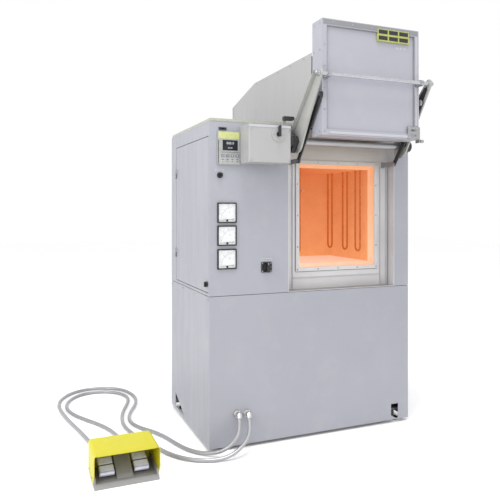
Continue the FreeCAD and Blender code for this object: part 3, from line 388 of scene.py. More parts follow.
def smooth_line(points):
    """Points along the quadratic NURBS line that has the given control points."""
    curve = bpy.data.curves.new("route", "CURVE")
    curve.dimensions = "3D"
    curve.resolution_u = 24
    spline = curve.splines.new("NURBS")
    spline.points.add(len(points) - 1)
    for target, point in zip(spline.points, points):
        target.co = (*point, 1)
    spline.order_u = 3
    spline.use_endpoint_u = True
    holder = bpy.data.objects.new("route", curve)
    bpy.context.scene.collection.objects.link(holder)
    bpy.context.view_layer.update()
    evaluated = holder.evaluated_get(bpy.context.evaluated_depsgraph_get())
    mesh = bpy.data.meshes.new_from_object(evaluated)
    line = [vertex.co.copy() for vertex in mesh.vertices]
    bpy.data.objects.remove(holder)
    bpy.data.curves.remove(curve)
    bpy.data.meshes.remove(mesh)
    return line


def walk(line, steps):
    """Places and headings at the given distances along a line of points."""
    lengths = [0.0]
    for before, after in zip(line, line[1:]):
        lengths.append(lengths[-1] + (after - before).length)
    found = []
    at = 0
    for step in steps:
        step = min(step, lengths[-1])
        while at < len(line) - 2 and lengths[at + 1] < step:
            at += 1
        span = lengths[at + 1] - lengths[at]
        share = (step - lengths[at]) / span if span else 0.0
        found.append((line[at].lerp(line[at + 1], share), (line[at + 1] - line[at]).normalized()))
    return found


def line_length(line):
    return sum((b - a).length for a, b in zip(line, line[1:]))


def sweep(bm, stations, radii, sides):
    """Round tube through (place, heading) stations with a radius at each, and its two end caps."""
    heading = stations[0][1]
    normal = heading.orthogonal().normalized()
    rings = []
    for (centre, ahead), radius in zip(stations, radii):
        turn = heading.rotation_difference(ahead)
        normal = turn @ normal
        heading = ahead
        second = ahead.cross(normal)
        ring = []
        for i in range(sides):
            angle = math.tau * i / sides
            outward = normal * math.cos(angle) + second * math.sin(angle)
            ring.append(bm.verts.new(centre + outward * radius))
        rings.append(ring)
    for first, last in zip(rings, rings[1:]):
        for i in range(sides):
            j = (i + 1) % sides
            bm.faces.new((first[i], first[j], last[j], last[i]))
    bm.faces.new(rings[0])
    bm.faces.new(rings[-1])


# ---- hoses ----
def armoured_hose(name, points):
    """Interlocked metal hose: bands a little proud of the grooves between them."""
    pitch = 0.0062
    profile = ((0.0, 1.0), (0.58, 1.0), (0.68, 0.87), (0.92, 0.87))
    line = smooth_line(points)
    length = line_length(line)
    turns = int(length / pitch)
    steps, radii = [], []
    for turn in range(turns):
        for share, size in profile:
            steps.append((turn + share) * length / turns)
            radii.append(size * HOSE_D / 2)
    steps.append(length)
    radii.append(HOSE_D / 2)
    bm = bmesh.new()
    sweep(bm, walk(line, steps), radii, 14)
    made = piece(name, bm, "root", "hose", smooth_deg=25)
    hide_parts(name.replace("armoured", "foot"))
    return made


# ---- solids in millimetres ----
AXIS_TURN = {"x": Matrix.Rotation(math.radians(90), 4, "Y"),
             "y": Matrix.Rotation(math.radians(-90), 4, "X"),
             "z": Matrix.Identity(4)}


def slab(bm, x0, x1, y0, y1, z0, z1, bevel=0.0):
    """Box between the given planes, with its edges rounded by bevel."""
    size = Matrix.Diagonal(((x1 - x0) * MM, (y1 - y0) * MM, (z1 - z0) * MM, 1))
    middle = Matrix.Translation(Vector(((x0 + x1) / 2, (y0 + y1) / 2, (z0 + z1) / 2)) * MM)
    made = bmesh.ops.create_cube(bm, size=1, matrix=middle @ size)
    if bevel:
        edges = list(dict.fromkeys(e for vertex in made["verts"] for e in vertex.link_edges))
        bmesh.ops.bevel(bm, geom=edges, offset=bevel * MM, segments=2, affect="EDGES")


def turned(bm, axis, at, profile, sides=24, spin=0.0):
    """Solid turned about an axis through at, from (distance along it, radius) pairs."""
    stand = Matrix.Translation(Vector(at) * MM) @ AXIS_TURN[axis] @ Matrix.Rotation(spin, 4, "Z")
    rings = []
    for along, radius in profile:
        ring = []
        for i in range(sides):
            angle = math.tau * i / sides
            spot = Vector((radius * math.cos(angle), radius * math.sin(angle), along)) * MM
            ring.append(bm.verts.new(stand @ spot))
        rings.append(ring)
    for first, last in zip(rings, rings[1:]):
        for i in range(sides):
            j = (i + 1) % sides
            bm.faces.new((first[i], first[j], last[j], last[i]))
    bm.faces.new(rings[0])
    bm.faces.new(rings[-1])


def drum(bm, axis, at, radius, length, sides=32):
    turned(bm, axis, at, [(0, radius), (length, radius)], sides)


def screw(bm, axis, at, out, radius=4.0):
    """Low round head on a washer, with a hexagon socket; out is +1 or -1 along the axis."""
    r = radius
    heights = [(-0.3, 1.45 * r), (0.5, 1.45 * r), (0.7, 1.35 * r), (0.7, r), (1.1, r),
               (1.1 + 0.42 * r, 0.62 * r), (1.1 + 0.45 * r, 0.45 * r), (1.1 + 0.1 * r, 0.42 * r)]
    turned(bm, axis, at, [(out * h, w) for h, w in heights], 18)


def bolt(bm, axis, at, out, radius=8.0, spin=0.3):
    """Hexagon head on a washer."""
    r = radius
    turned(bm, axis, at, [(-out * 0.3, 1.25 * r), (out * 1.4, 1.25 * r), (out * 1.6, 1.18 * r)], 24)
    head = [(out * 1.2, r), (out * (1.2 + 0.62 * r), r), (out * (1.2 + 0.72 * r), 0.85 * r)]
    turned(bm, axis, at, head, 6, spin)


def ring_nut(bm, axis, at, inner, outer, length, sides=6, spin=0.2):
    """Hexagonal ring round a pipe."""
    turned(bm, axis, at, [(0, inner), (0, outer * 0.94), (length * 0.15, outer),
                          (length * 0.85, outer), (length, outer * 0.94), (length, inner)], sides, spin)


def lettering(bm, texts, axis_y):
    """Thin raised characters on a plane that faces the front, as (text, x, z, height)."""
    for text, x, z, height in texts:
        curve = bpy.data.curves.new("marks", "FONT")
        curve.body = text
        curve.size = height * MM
        curve.align_x = "CENTER"
        curve.align_y = "CENTER"
        curve.extrude = 0.12 * MM
        holder = bpy.data.objects.new("marks", curve)
        bpy.context.scene.collection.objects.link(holder)
        bpy.context.view_layer.update()
        evaluated = holder.evaluated_get(bpy.context.evaluated_depsgraph_get())
        mesh = bpy.data.meshes.new_from_object(evaluated)
        upright = Matrix.Rotation(math.radians(90), 4, "X")
        mesh.transform(Matrix.Translation(Vector((x, axis_y, z)) * MM) @ upright)
        bm.from_mesh(mesh)
        bpy.data.objects.remove(holder)
        bpy.data.curves.remove(curve)
        bpy.data.meshes.remove(mesh)


def plain(name, colour, roughness=0.5, glow=0.0):
    """Printed or small plain surface: mottled a little, and lit from inside if glow is above zero."""
    material, tree, bsdf = shader(name)
    tone = noise(tree, place(tree), 55.0, 3.0)
    base = ramp(tree, tone, (0.3, scaled(colour, 0.9)), (0.7, scaled(colour, 1.1)))
    tree.links.new(base, bsdf.inputs["Base Color"])
    bsdf.inputs["Roughness"].default_value = roughness
    if glow:
        tree.links.new(base, bsdf.inputs["Emission Color"])
        bsdf.inputs["Emission Strength"].default_value = glow
    return material


INK = plain("ink", (0.015, 0.015, 0.018), 0.6)
PALE = plain("pale_mark", (0.42, 0.43, 0.44), 0.5)
LIME = plain("lime_label", (0.46, 0.49, 0.20), 0.5)
DIGITS = plain("lit_digits", (0.30, 0.34, 0.36), 0.5, 0.5)
OLIVE = plain("olive_label", (0.34, 0.36, 0.10), 0.5)
# Lid lip paint lighter than the lid: a painted highlight along the lid's front and left edges.
LID_LIP_HIGHLIGHT = plain("lid_lip_painted_highlight", (0.36, 0.37, 0.31), 0.45)
BRIGHT_PAD = plain("bright_pad", (0.76, 0.78, 0.97), 0.4)
# Light grey paint: the real colour of the switch labels and the door's small marks, and a painted
# highlight on the drive lid, recess ribs and door profiles.
LIGHT_PAINT_AND_HIGHLIGHT = painted("light_paint_and_highlight", (0.42, 0.42, 0.45), 0.36)
# Dark paint used only as painted shade, on the door's borders and the recess seams.
SHADE_PAINT = painted("painted_shade_dark", (0.20, 0.205, 0.215), 0.42)
GASKET = fibre_board("gasket", (0.80, 0.77, 0.70))


# ---- control bay ----
METER_X, METER_ZS = -478.0, (1125.0, 1017.0, 906.0)
DIAL_FACE = -352.0
KEY_XS, KEY_Z = (-502.0, -478.0, -454.0, -430.0), 1394.0
KEY_MARK_SIDES = (3, 3, 12, 16)
SWITCH_X, SWITCH_Z, SWITCH_FACE = -273.0, 860.0, -354.0


def controller_marks():
    bm = bmesh.new()
    slab(bm, -523.5, -418.5, CASE_FACE - 0.7, CASE_FACE, 1474, 1506, 0.2)
    piece("controller_label", bm, "root", "white_plastic", LIME)
    bm = bmesh.new()
    lettering(bm, [("888.8", -465, 1453, 17), ("88.88", -465, 1431, 10)], -362.5)
    piece("screen_digits", bm, "root", "screen", DIGITS)
    bm = bmesh.new()
    for i, x in enumerate(KEY_XS):
        slab(bm, x - 5, x + 5, CASE_FACE - 0.4, CASE_FACE, 1375, 1377.5)
        slab(bm, x - 1.5 - i, x + 1.5 + i, CASE_FACE - 0.4, CASE_FACE, 1366, 1368)
    slab(bm, -524.5, -521.5, CASE_FACE - 0.4, CASE_FACE, 1356, 1468)
    slab(bm, -508, -422, CASE_FACE - 0.4, CASE_FACE, 1410, 1411.2)
    piece("controller_marks", bm, "root", "white_plastic", INK)
    for number, (x, sides) in enumerate(zip(KEY_XS, KEY_MARK_SIDES), start=1):
        bm = bmesh.new()
        drum(bm, "y", (x, -364.3, KEY_Z), 2.4 + 0.25 * number, 0.3, sides)
        piece("key_mark_%d" % number, bm, "key_%d" % number, "key_plastic", PALE)


def meter_scale(number, z):
    """Printed quarter-circle scale about the needle's spindle, with the cover's zero screw."""
    px, pz = METER_X + 32, z - 32
    ink_y = DIAL_FACE - 0.12
    bm = bmesh.new()
    for step in range(21):
        angle = math.radians(180 - 4.5 * step)
        inner = 56.5 if step % 5 else 53.5
        across = 0.28 if step % 5 else 0.5
        ends = []
        for radius in (inner, 61.0):
            for side in (-across, across):
                ends.append((px + radius * math.cos(angle) - side * math.sin(angle),
                             pz + radius * math.sin(angle) + side * math.cos(angle)))
        corners = [ends[0], ends[1], ends[3], ends[2]]
        bm.faces.new([bm.verts.new(Vector((x, ink_y, h)) * MM) for x, h in corners])
    arc = []
    for radius in (60.6, 61.4):
        arc.append([bm.verts.new(Vector((px + radius * math.cos(math.radians(a)), ink_y,
                                         pz + radius * math.sin(math.radians(a)))) * MM)
                    for a in range(90, 181, 3)])
    for i in range(len(arc[0]) - 1):
        bm.faces.new((arc[0][i], arc[0][i + 1], arc[1][i + 1], arc[1][i]))
    labels = []
    for step, text in enumerate(("0", "10", "20", "30", "40")):
        angle = math.radians(180 - 22.5 * step)
        labels.append((text, px + 67.5 * math.cos(angle), pz + 67.5 * math.sin(angle), 6.5))
    labels.append((("A", "V", "A")[number - 1], METER_X + 14, z + 2, 14))
    lettering(bm, labels, DIAL_FACE - 0.1)
    slab(bm, METER_X - 36, METER_X - 8, DIAL_FACE - 0.3, DIAL_FACE, z - 37.5, z - 35.5)
    piece("meter_scale_%d" % number, bm, "root", "dial", INK)
    bm = bmesh.new()
    drum(bm, "y", (METER_X, -358.4, z - 36), 5.5, 0.8)
    slab(bm, METER_X - 4, METER_X + 4, -358.8, -358.4, z - 36.6, z - 35.4)
    for dx in (-44.6, 44.6):
        for dz in (-44.6, 44.6):
            screw(bm, "y", (METER_X + dx, METER_FACE, z + dz), -1, 1.4)
    piece("meter_trim_%d" % number, bm, "root", "black_plastic")


def switch_marks():
    bm = bmesh.new()
    marks = [("0", SWITCH_X, SWITCH_Z + 20.5, 8), ("I", SWITCH_X + 22.5, SWITCH_Z, 8)]
    lettering(bm, marks, SWITCH_FACE - 0.2)
    for dx in (-22.5, 22.5):
        for dz in (-19.5, 19.5):
            screw(bm, "y", (SWITCH_X + dx, SWITCH_FACE, SWITCH_Z + dz), -1, 1.8)
    piece("main_switch_marks", bm, "root", "black_plastic", PALE)
    bm = bmesh.new()
    slab(bm, SWITCH_X - 1.2, SWITCH_X + 1.2, -378.4, -378, 874, 882, 0.1)
    piece("main_switch_line", bm, "main_switch", "black_plastic", PALE)
    bm = bmesh.new()
    label_y = FRONT - 0.6
    slab(bm, -301, -245, label_y, FRONT, 890, 902, 0.2)
    slab(bm, -535, -491, label_y, FRONT, 1321, 1331, 0.2)
    piece("switch_labels", bm, "root", "panel_paint", LIGHT_PAINT_AND_HIGHLIGHT)
    bm = bmesh.new()
    for i in range(6):
        slab(bm, -297 + 8.5 * i, -291 + 8.5 * i, FRONT - 0.9, label_y, 895, 897)
    for i in range(4):
        slab(bm, -530 + 9 * i, -523 + 9 * i, FRONT - 0.9, label_y, 1325, 1327)
    piece("label_print", bm, "root", "panel_paint", INK)


# ---- screws, nuts and folds on the cabinet ----
def spread(first, last, count):
    return [first + (last - first) * i / (count - 1) for i in range(count)]


def cabinet_screws():
    bm = bmesh.new()
    for x in spread(-552, 552, 7):
        screw(bm, "y", (x, REAR, 718), 1)
        screw(bm, "y", (x, REAR, 30), 1)
    for z in (200, 375, 550):
        for x in (-552, 552):
            screw(bm, "y", (x, REAR, z), 1)
    for z in spread(748, 1538, 6):
        screw(bm, "y", (-552, REAR, z), 1)
        screw(bm, "y", (-172, REAR, z), 1)
    for z in (748, 1538):
        screw(bm, "y", (-362, REAR, z), 1)
    for z in spread(750, 1552, 6):
        for x in (-140, 550):
            screw(bm, "y", (x, HOUSING_REAR, z), 1)
    for x in spread(-2, 412, 4):
        screw(bm, "y", (x, HOUSING_REAR, 750), 1)
        screw(bm, "y", (x, HOUSING_REAR, 1552), 1)
    for y in (-330, -110, 110, 330):
        screw(bm, "x", (LEFT, y, 716), -1)
        flush_screw(bm, y, 716)
    for z in (760, 1010, 1270, 1530):
        for y in (-328, 328):
            flush_screw(bm, y, z)
    for y in (375, 535):
        for z in spread(752, 1550, 4):
            flush_screw(bm, y, z)
            screw(bm, "x", (HOUSING_LEFT, y, z), -1)
    for x in (-530, -348, -170):
        screw(bm, "z", (x, -320, LID_TOP), 1)
        screw(bm, "z", (x, 320, LID_TOP), 1)
    piece("cabinet_screws", bm, "root", "zinc_steel")


def flush_screw(bm, y, z):
    """Countersunk screw in the right wall, level with the sheet."""
    turned(bm, "x", (RIGHT, y, z), [(-0.5, 4.6), (0.0, 4.6), (0.04, 4.2), (0.04, 1.9), (-0.4, 1.8)], 18)


def louvre(bm, at, width, height=11.0, depth=6.0):
    """Pressed louvre on a rear wall: a rounded scoop that is open below."""
    steps = 8
    rows = []
    for i in range(steps + 1):
        angle = math.pi / 2 * i / steps
        rows.append((depth * math.cos(angle), height * math.sin(angle)))
    columns = []
    for share in (-1.0, -0.94, -0.8, 0.8, 0.94, 1.0):
        swell = {1.0: 0.02, 0.94: 0.7, 0.8: 1.0}[abs(share)]
        columns.append([(share * width / 2, out * swell, up * (0.9 + 0.1 * swell)) for out, up in rows])
    verts = []
    for column in columns:
        made = []
        for across, out, up in column:
            spot = Vector((at[0] + across, at[1] + out, at[2] + up))
            made.append(bm.verts.new(spot * MM))
        verts.append(made)
    for first, last in zip(verts, verts[1:]):
        for i in range(steps):
            bm.faces.new((first[i], first[i + 1], last[i + 1], last[i]))


def louvres():
    scoops, slots = bmesh.new(), bmesh.new()
    for row in range(9):
        z = 1330 + 20 * row
        louvre(scoops, (-355, REAR, z), 230)
        slab(slots, -466, -244, REAR, REAR + 0.3, z, z + 3)
        for x in (60, 350):
            louvre(scoops, (x, HOUSING_REAR, z - 30), 210)
            slab(slots, x - 101, x + 101, HOUSING_REAR, HOUSING_REAR + 0.3, z - 30, z - 27)
    for row in range(7):
        z = 480 + 20 * row
        slab(slots, RIGHT - 0.1, RIGHT + 0.04, -126, 126, z, z + 5)
        louvre(scoops, (120, REAR, z), 260)
        slab(slots, -6, 246, REAR, REAR + 0.3, z, z + 3)
    piece("louvres", scoops, "root", "panel_paint")
    # Black strips under the louvres and in the right wall's slots: painted shade where the openings show
    # the dark inside.
    piece("louvre_slots", slots, "root", "black_steel")


def lid_trim():
    bm = bmesh.new()
    slab(bm, -559, 559, -345.4, -344, 1557, 1570.2, 0.4)
    slab(bm, -560.4, -559, -344, 349, 1557, 1570.2, 0.4)
    # painted highlight: the lip is drawn lighter than the lid's own paint
    piece("lid_lip", bm, "root", "panel_paint", LID_LIP_HIGHLIGHT)


def gland_nuts():
    bm = bmesh.new()
    for x, z in ((-427, 168), (-377, 165)):
        ring_nut(bm, "y", (x, -360.5, z), 13, 19, 10)
    ring_nut(bm, "y", (-400, 350, 250), 19, 26, 10.5)
    ring_nut(bm, "y", (-400, 363, 250), 18, 22.5, 12, 6, 0.7)
    for x in (-1045, -905):
        ring_nut(bm, "y", (x, -327, 30), 11.5, 17.2, 9.5)
        ring_nut(bm, "y", (x, -314, 30), 11, 14.2, 9, 6, 0.7)
    piece("gland_nuts", bm, "root", "gland")
    bm = bmesh.new()
    for x in (-505, 505):
        for y in (-290, 290):
            ring_nut(bm, "z", (x, y, 50), 7.9, 13, 9)
            ring_nut(bm, "z", (x, y, 14), 7.9, 11, 6)
            for step in range(9):
                turned(bm, "z", (x, y, 22 + 3 * step), [(0, 8.0), (0.9, 8.7), (1.1, 8.7), (2.0, 8.0)], 20)
    piece("foot_nuts", bm, "root", "zinc_steel")


def mouth_trim():
    """Bright edge of the lining round the mouth, and the screws of the raised frame."""
    rim = glowing("glow_rim", CHAMBER_LOW.z, CHAMBER_HIGH.z, (0.74, 0.38, 0.22), (0.88, 0.68, 0.54), 0.75)
    x0, x1, z0, z1 = KILN_X - 225.6, KILN_X + 225.6, 844.4, 1372.6
    width = 17.2
    front, rear = -258.8, -257.4
    bm = bmesh.new()
    slab(bm, x0, x1, front, rear, z0, z0 + width, 0.4)
    slab(bm, x0, x1, front, rear, z1 - width, z1, 0.4)
    slab(bm, x0, x0 + width, front, rear, z0 + width, z1 - width, 0.4)
    slab(bm, x1 - width, x1, front, rear, z0 + width, z1 - width, 0.4)
    slab(bm, x0, x1, RECESS_BACK, -259, z0 - 0.4, z0 + 0.8)
    slab(bm, x0, x1, RECESS_BACK, -259, z1 - 0.8, z1 + 0.4)
    slab(bm, x0 - 0.4, x0 + 0.8, RECESS_BACK, -259, z0, z1)
    slab(bm, x1 - 0.8, x1 + 0.4, RECESS_BACK, -259, z0, z1)
    piece("mouth_rim", bm, "root", "fibre_lining", rim)
    bm = bmesh.new()
    for x in spread(KILN_X - 235.5, KILN_X + 235.5, 5):
        for z in (834.5, 1382.5):
            screw(bm, "y", (x, MOUTH_FRAME, z), -1, 3.0)
    for z in spread(950, 1270, 3):
        for x in (KILN_X - 235.5, KILN_X + 235.5):
            screw(bm, "y", (x, MOUTH_FRAME, z), -1, 3.0)
    piece("mouth_screws", bm, "root", "zinc_steel")
    bm = bmesh.new()
    # The ribs are drawn in lighter paint than the steel round them: a painted highlight.
    for side in (1, -1):
        for inner, proud in ((262, 6), (300, 10)):
            x0, x1 = sorted((KILN_X + side * inner, KILN_X + side * (inner + 4)))
            slab(bm, x0, x1, RECESS_BACK - proud, RECESS_BACK, 740, 1370, 0.8)
    slab(bm, KILN_X - 258, KILN_X + 258, RECESS_BACK - 4, RECESS_BACK, 790, 794, 0.8)
    piece("recess_ribs", bm, "root", "stainless", LIGHT_PAINT_AND_HIGHLIGHT)
    bm = bmesh.new()
    # Dark lines along the recess seams and corners: painted shade.
    shade_line_depth = (RECESS_BACK - 1, RECESS_BACK)
    slab(bm, KILN_X + 246, KILN_X + 249, *shade_line_depth, 826, 1391, 0.3)
    slab(bm, KILN_X + 267, KILN_X + 269, *shade_line_depth, 740, 1370, 0.3)
    slab(bm, KILN_X - 249, KILN_X - 246, *shade_line_depth, 826, 1391, 0.3)
    slab(bm, KILN_X - 246, KILN_X + 246, *shade_line_depth, 821, 824, 0.3)
    piece("recess_shade_lines", bm, "root", "stainless", SHADE_PAINT)


# ---- hood and drive ----
DRIVE_LEFT, DRIVE_RIGHT = ends("drive_housing", "x")
DRIVE_FACE = -471.0
PIVOT_Y, PIVOT_Z = -424.0, 1470.0


def hood_trim():
    folds, rivets = bmesh.new(), bmesh.new()
    for x, out in ((HOOD_LEFT, -1), (HOOD_RIGHT, 1)):
        fold = x + 1.6 * out
        inner = sorted((x, fold))
        slab(folds, *inner, -344, 558, LID_TOP, LID_TOP + 21, 0.4)
        slab(folds, *inner, 538, 559.5, LID_TOP + 21, 1790, 0.4)
        for y in spread(-325, 540, 8):
            screw(rivets, "x", (fold, y, LID_TOP + 10), out, 3.2)
        for z in (1640, 1700, 1760):
            screw(rivets, "x", (fold, 549, z), out, 3.2)
        for y in spread(-430, 160, 5):
            screw(rivets, "x", (x, y, HOOD_TOP - 12), out, 3.2)
    slab(folds, HOOD_LEFT + 3, HOOD_RIGHT - 3, 557, 560, 1786, 1797, 0.4)
    for x in spread(HOOD_LEFT + 25, HOOD_RIGHT - 25, 6):
        screw(rivets, "y", (x, HOUSING_REAR, LID_TOP + 12), 1, 3.2)
        screw(rivets, "y", (x, HOUSING_REAR, 1778), 1, 3.2)
        screw(rivets, "z", (x, -440, HOOD_TOP), 1, 3.2)
        screw(rivets, "z", (x, 178, HOOD_TOP), 1, 3.2)
    piece("hood_folds", folds, "root", "hood_paint")
    piece("hood_rivets", rivets, "root", "zinc_steel")


def drive_trim():
    bm = bmesh.new()
    # The drive box's lid and top front edge in lighter paint: a painted highlight on the box's top.
    lid_ends = (DRIVE_LEFT + 0.5, DRIVE_RIGHT - 0.5)
    slab(bm, *lid_ends, -471.8, -351, 1533, 1534.4, 0.3)
    slab(bm, *lid_ends, -472.4, -470.8, 1522, 1534.4, 0.3)
    piece("drive_lid", bm, "root", "hood_paint", LIGHT_PAINT_AND_HIGHLIGHT)
    bm = bmesh.new()
    for x in (-404, -210):
        for z in (1368, 1512):
            screw(bm, "y", (x, DRIVE_FACE, z), -1, 3.2)
    for y in (-455, -366):
        for z in (1370, 1520):
            screw(bm, "x", (DRIVE_LEFT, y, z), -1, 3.2)
    for x in (-241, -289):
        screw(bm, "y", (x, -474, 1492), -1, 2.6)
    for dz in (-42, 42):
        for x in (KILN_X - 342, KILN_X + 342):
            bolt(bm, "y", (x, -362, PIVOT_Z + dz), -1, 6.2)
    piece("drive_screws", bm, "root", "zinc_steel")
    bm = bmesh.new()
    slab(bm, -225, -169, -446.8, -446, 1568, 1582, 0.2)
    drum(bm, "x", (-173, -433, 1575), 4.5, 7)
    piece("limit_switch_trim", bm, "root", "black_plastic")


# ---- swing gear ----
BAR_Y, BAR_Z = -645.025, 1752.896
REST = math.radians(52)
ARM_X = 298.0


def arm_spot(along, across):
    """Point on the arm's plane: along it from the pivot, and across it to the rear."""
    y = PIVOT_Y - along * math.cos(REST) + across * math.sin(REST)
    z = PIVOT_Z + along * math.sin(REST) + across * math.cos(REST)
    return y, z


def arm_trim():
    bolts, pads = bmesh.new(), bmesh.new()
    for side in (-1, 1):
        for turn in (60, 130, 230, 300):
            angle = math.radians(turn)
            y, z = arm_spot(40 * math.cos(angle), 40 * math.sin(angle))
            bolt(bolts, "x", (KILN_X + side * (ARM_X + 8), y, z), side, 4.6)
        x = KILN_X + side * 313.5
        turned(bolts, "x", (x, BAR_Y, BAR_Z), [(0, 12.5), (side * 6, 12.5), (side * 6.6, 11)], 6, 0.4)
        dome = [(side * 6, 8.5), (side * 10, 8), (side * 12.5, 6), (side * 13.8, 3), (side * 14, 0.2)]
        turned(bolts, "x", (x, BAR_Y, BAR_Z), dome, 24)
        # Dark plates on each arm's inner face: painted shade on that face.
        face = sorted((KILN_X + side * ARM_X, KILN_X + side * (ARM_X - 1)))
        outline = [arm_spot(*at) for at in ((20, -38), (330, -13), (343, 0), (330, 13), (20, 38))]
        rings = [[pads.verts.new(Vector((x, y, z)) * MM) for y, z in outline] for x in face]
        pads.faces.new(rings[0])
        pads.faces.new(rings[1])
        for i in range(len(outline)):
            j = (i + 1) % len(outline)
            pads.faces.new((rings[0][i], rings[0][j], rings[1][j], rings[1][i]))
    piece("arm_bolts", bolts, "swing_arms", "zinc_steel")
    piece("arm_inner_painted_shade", pads, "swing_arms", "black_steel")


# ---- door ----
SUNK_FACE, LABEL_FACE = -600.0, -609.4


def door_trim():
    x0, x1 = DOOR_LEFT, DOOR_RIGHT
    bm = bmesh.new()
    slab(bm, 190, 371, LABEL_FACE, SUNK_FACE, 1943, 2003, 0.5)
    piece("door_label", bm, "kiln_door", "door_paint", OLIVE)
    bm = bmesh.new()
    for z in (1950, 1979):
        for x in (197, 256, 315):
            slab(bm, x - 1, x + 50, LABEL_FACE - 0.8, LABEL_FACE, z, z + 19, 0.3)
    piece("label_blocks", bm, "kiln_door", "door_paint", INK)
    bm = bmesh.new()
    # The top border strip and the thin lines beside the borders are drawn in dark paint: painted shade.
    slab(bm, x0 + 6, x1 - 6, DOOR_RIM - 0.9, DOOR_RIM, 1990, 2012, 0.3)
    slab(bm, x0 + 25, x1 - 25, DOOR_RIM, SUNK_FACE, 1983, 1986, 0.5)
    slab(bm, x1 - 28, x1 - 25, DOOR_RIM, SUNK_FACE, 1510, 1986, 0.5)
    slab(bm, x0 + 25, x0 + 28, DOOR_RIM, SUNK_FACE, 1510, 1986, 0.5)
    piece("door_edge_painted_shade", bm, "kiln_door", "door_paint", SHADE_PAINT)
    bm = bmesh.new()
    # The right edge profiles and the bottom strip are drawn in lighter paint: a painted highlight.
    slab(bm, x1 - 22, x1 - 17, DOOR_RIM - 5, DOOR_RIM, 1550, 1985, 0.6)
    slab(bm, x1 - 7, x1 - 2, DOOR_RIM - 5, DOOR_RIM, 1550, 1985, 0.6)
    slab(bm, x1 - 22, x1 - 2, DOOR_RIM - 1.5, DOOR_RIM, 1550, 1985, 0.4)
    slab(bm, x0 + 40, x0 + 480, DOOR_RIM - 2.4, DOOR_RIM, 1489, 1501, 0.6)
    piece("door_profile", bm, "kiln_door", "door_paint", LIGHT_PAINT_AND_HIGHLIGHT)
    bm = bmesh.new()
    for z in spread(1500, 1998, 6):
        screw(bm, "y", (x0 + 12, DOOR_RIM, z), -1, 3.4)
    for x in spread(x0 + 60, x1 - 60, 5):
        screw(bm, "y", (x, DOOR_RIM - 0.9, 2001), -1, 3.0)
    for y in (-590, -534):
        for z in spread(1500, 1998, 5):
            screw(bm, "x", (x0, y, z), -1, 3.2)
            screw(bm, "x", (x1, y, z), 1, 3.2)
    for x in (x1 - 59, x1 - 8):
        for z in (1491, 1537):
            screw(bm, "y", (x, DOOR_RIM - 4, z), -1, 3.0)
    piece("door_screws", bm, "kiln_door", "zinc_steel")
    bm = bmesh.new()
    for x in (300, 322, 344):
        slab(bm, x, x + 15, SUNK_FACE - 0.5, SUNK_FACE, 1916, 1926, 0.1)
    piece("door_small_marks", bm, "kiln_door", "door_paint", LIGHT_PAINT_AND_HIGHLIGHT)
    door_gasket()


def door_gasket():
    """Rope gasket round the door's plug, with a slight twist."""
    y, steps = -512.4, 40
    bm = bmesh.new()
    corners = ((-64.8, 1488), (384.8, 1488), (384.8, 2011.9), (-64.8, 2011.9))
    path = [Vector((x, y, z)) * MM for x, z in corners]
    radii = [0.0033 + 0.0004 * (i % 2) for i in range(steps + 1)]
    for first, last in zip(path, path[1:] + path[:1]):
        ahead = (last - first).normalized()
        sweep(bm, [(first.lerp(last, i / steps), ahead) for i in range(steps + 1)], radii, 10)
    piece("door_gasket", bm, "kiln_door", "fibre_lining", GASKET)


# ---- foot switch ----
PEDAL_SPOT = Vector((0, -352.0, 66.0))
PEDAL_LENGTH, PEDAL_TILT = 112.0, math.radians(14)
PLATE_TOP = 14.0
WEDGE_TOP = Vector((0, -356, 74))
WEDGE_SLOPE = math.atan2(56, 126)


def tilted(spot, angle):
    """Turn about a sideways line through a spot in millimetres."""
    there, back = Matrix.Translation(spot * MM), Matrix.Translation(-spot * MM)
    return there @ Matrix.Rotation(angle, 4, "X") @ back


def pedal_treads(name, x):
    """Fine ridges across the pedal's top, two raised pads and the dark band between them."""
    bm = bmesh.new()
    front = PEDAL_SPOT.y - PEDAL_LENGTH
    for i in range(8):
        y = front + 2.4 + i * 13
        slab(bm, x - 26, x + 26, y, y + 1.2, 68.9, 70.2, 0.2)
        slab(bm, x - 26, x + 26, y + 2.4, y + 3.6, 68.9, 70.2, 0.2)
    tilt = tilted(PEDAL_SPOT, PEDAL_TILT)
    bmesh.ops.transform(bm, matrix=tilt, verts=bm.verts)
    piece(name + "_treads", bm, name, "pedal")
    bm = bmesh.new()
    slab(bm, x - 30, x + 30, front - 5, front + 3, 60, 75.5, 2.0)
    for y0, y1 in ((front - 5, front + 40), (front + 49, front + 92)):
        slab(bm, x - 30, x + 30, y0, y1, 68.6, 75.5, 2.0)
        for step in range(5):
            y = y0 + 7 + step * (y1 - y0 - 14) / 4
            slab(bm, x - 25, x + 25, y - 1.4, y + 1.4, 75.3, 76.6, 0.4)
    bmesh.ops.transform(bm, matrix=tilt, verts=bm.verts)
    piece(name + "_pads", bm, name, "pedal", BRIGHT_PAD)
    bm = bmesh.new()
    slab(bm, x - 31.3, x + 31.3, front + 40.5, front + 48.5, 67.5, 72.2, 0.5)
    for dx in (-20, 20):
        screw(bm, "z", (x + dx, front + 44.5, 72.2), 1, 2.4)
    bmesh.ops.transform(bm, matrix=tilt, verts=bm.verts)
    piece(name + "_gap", bm, name, "pedal", INK)


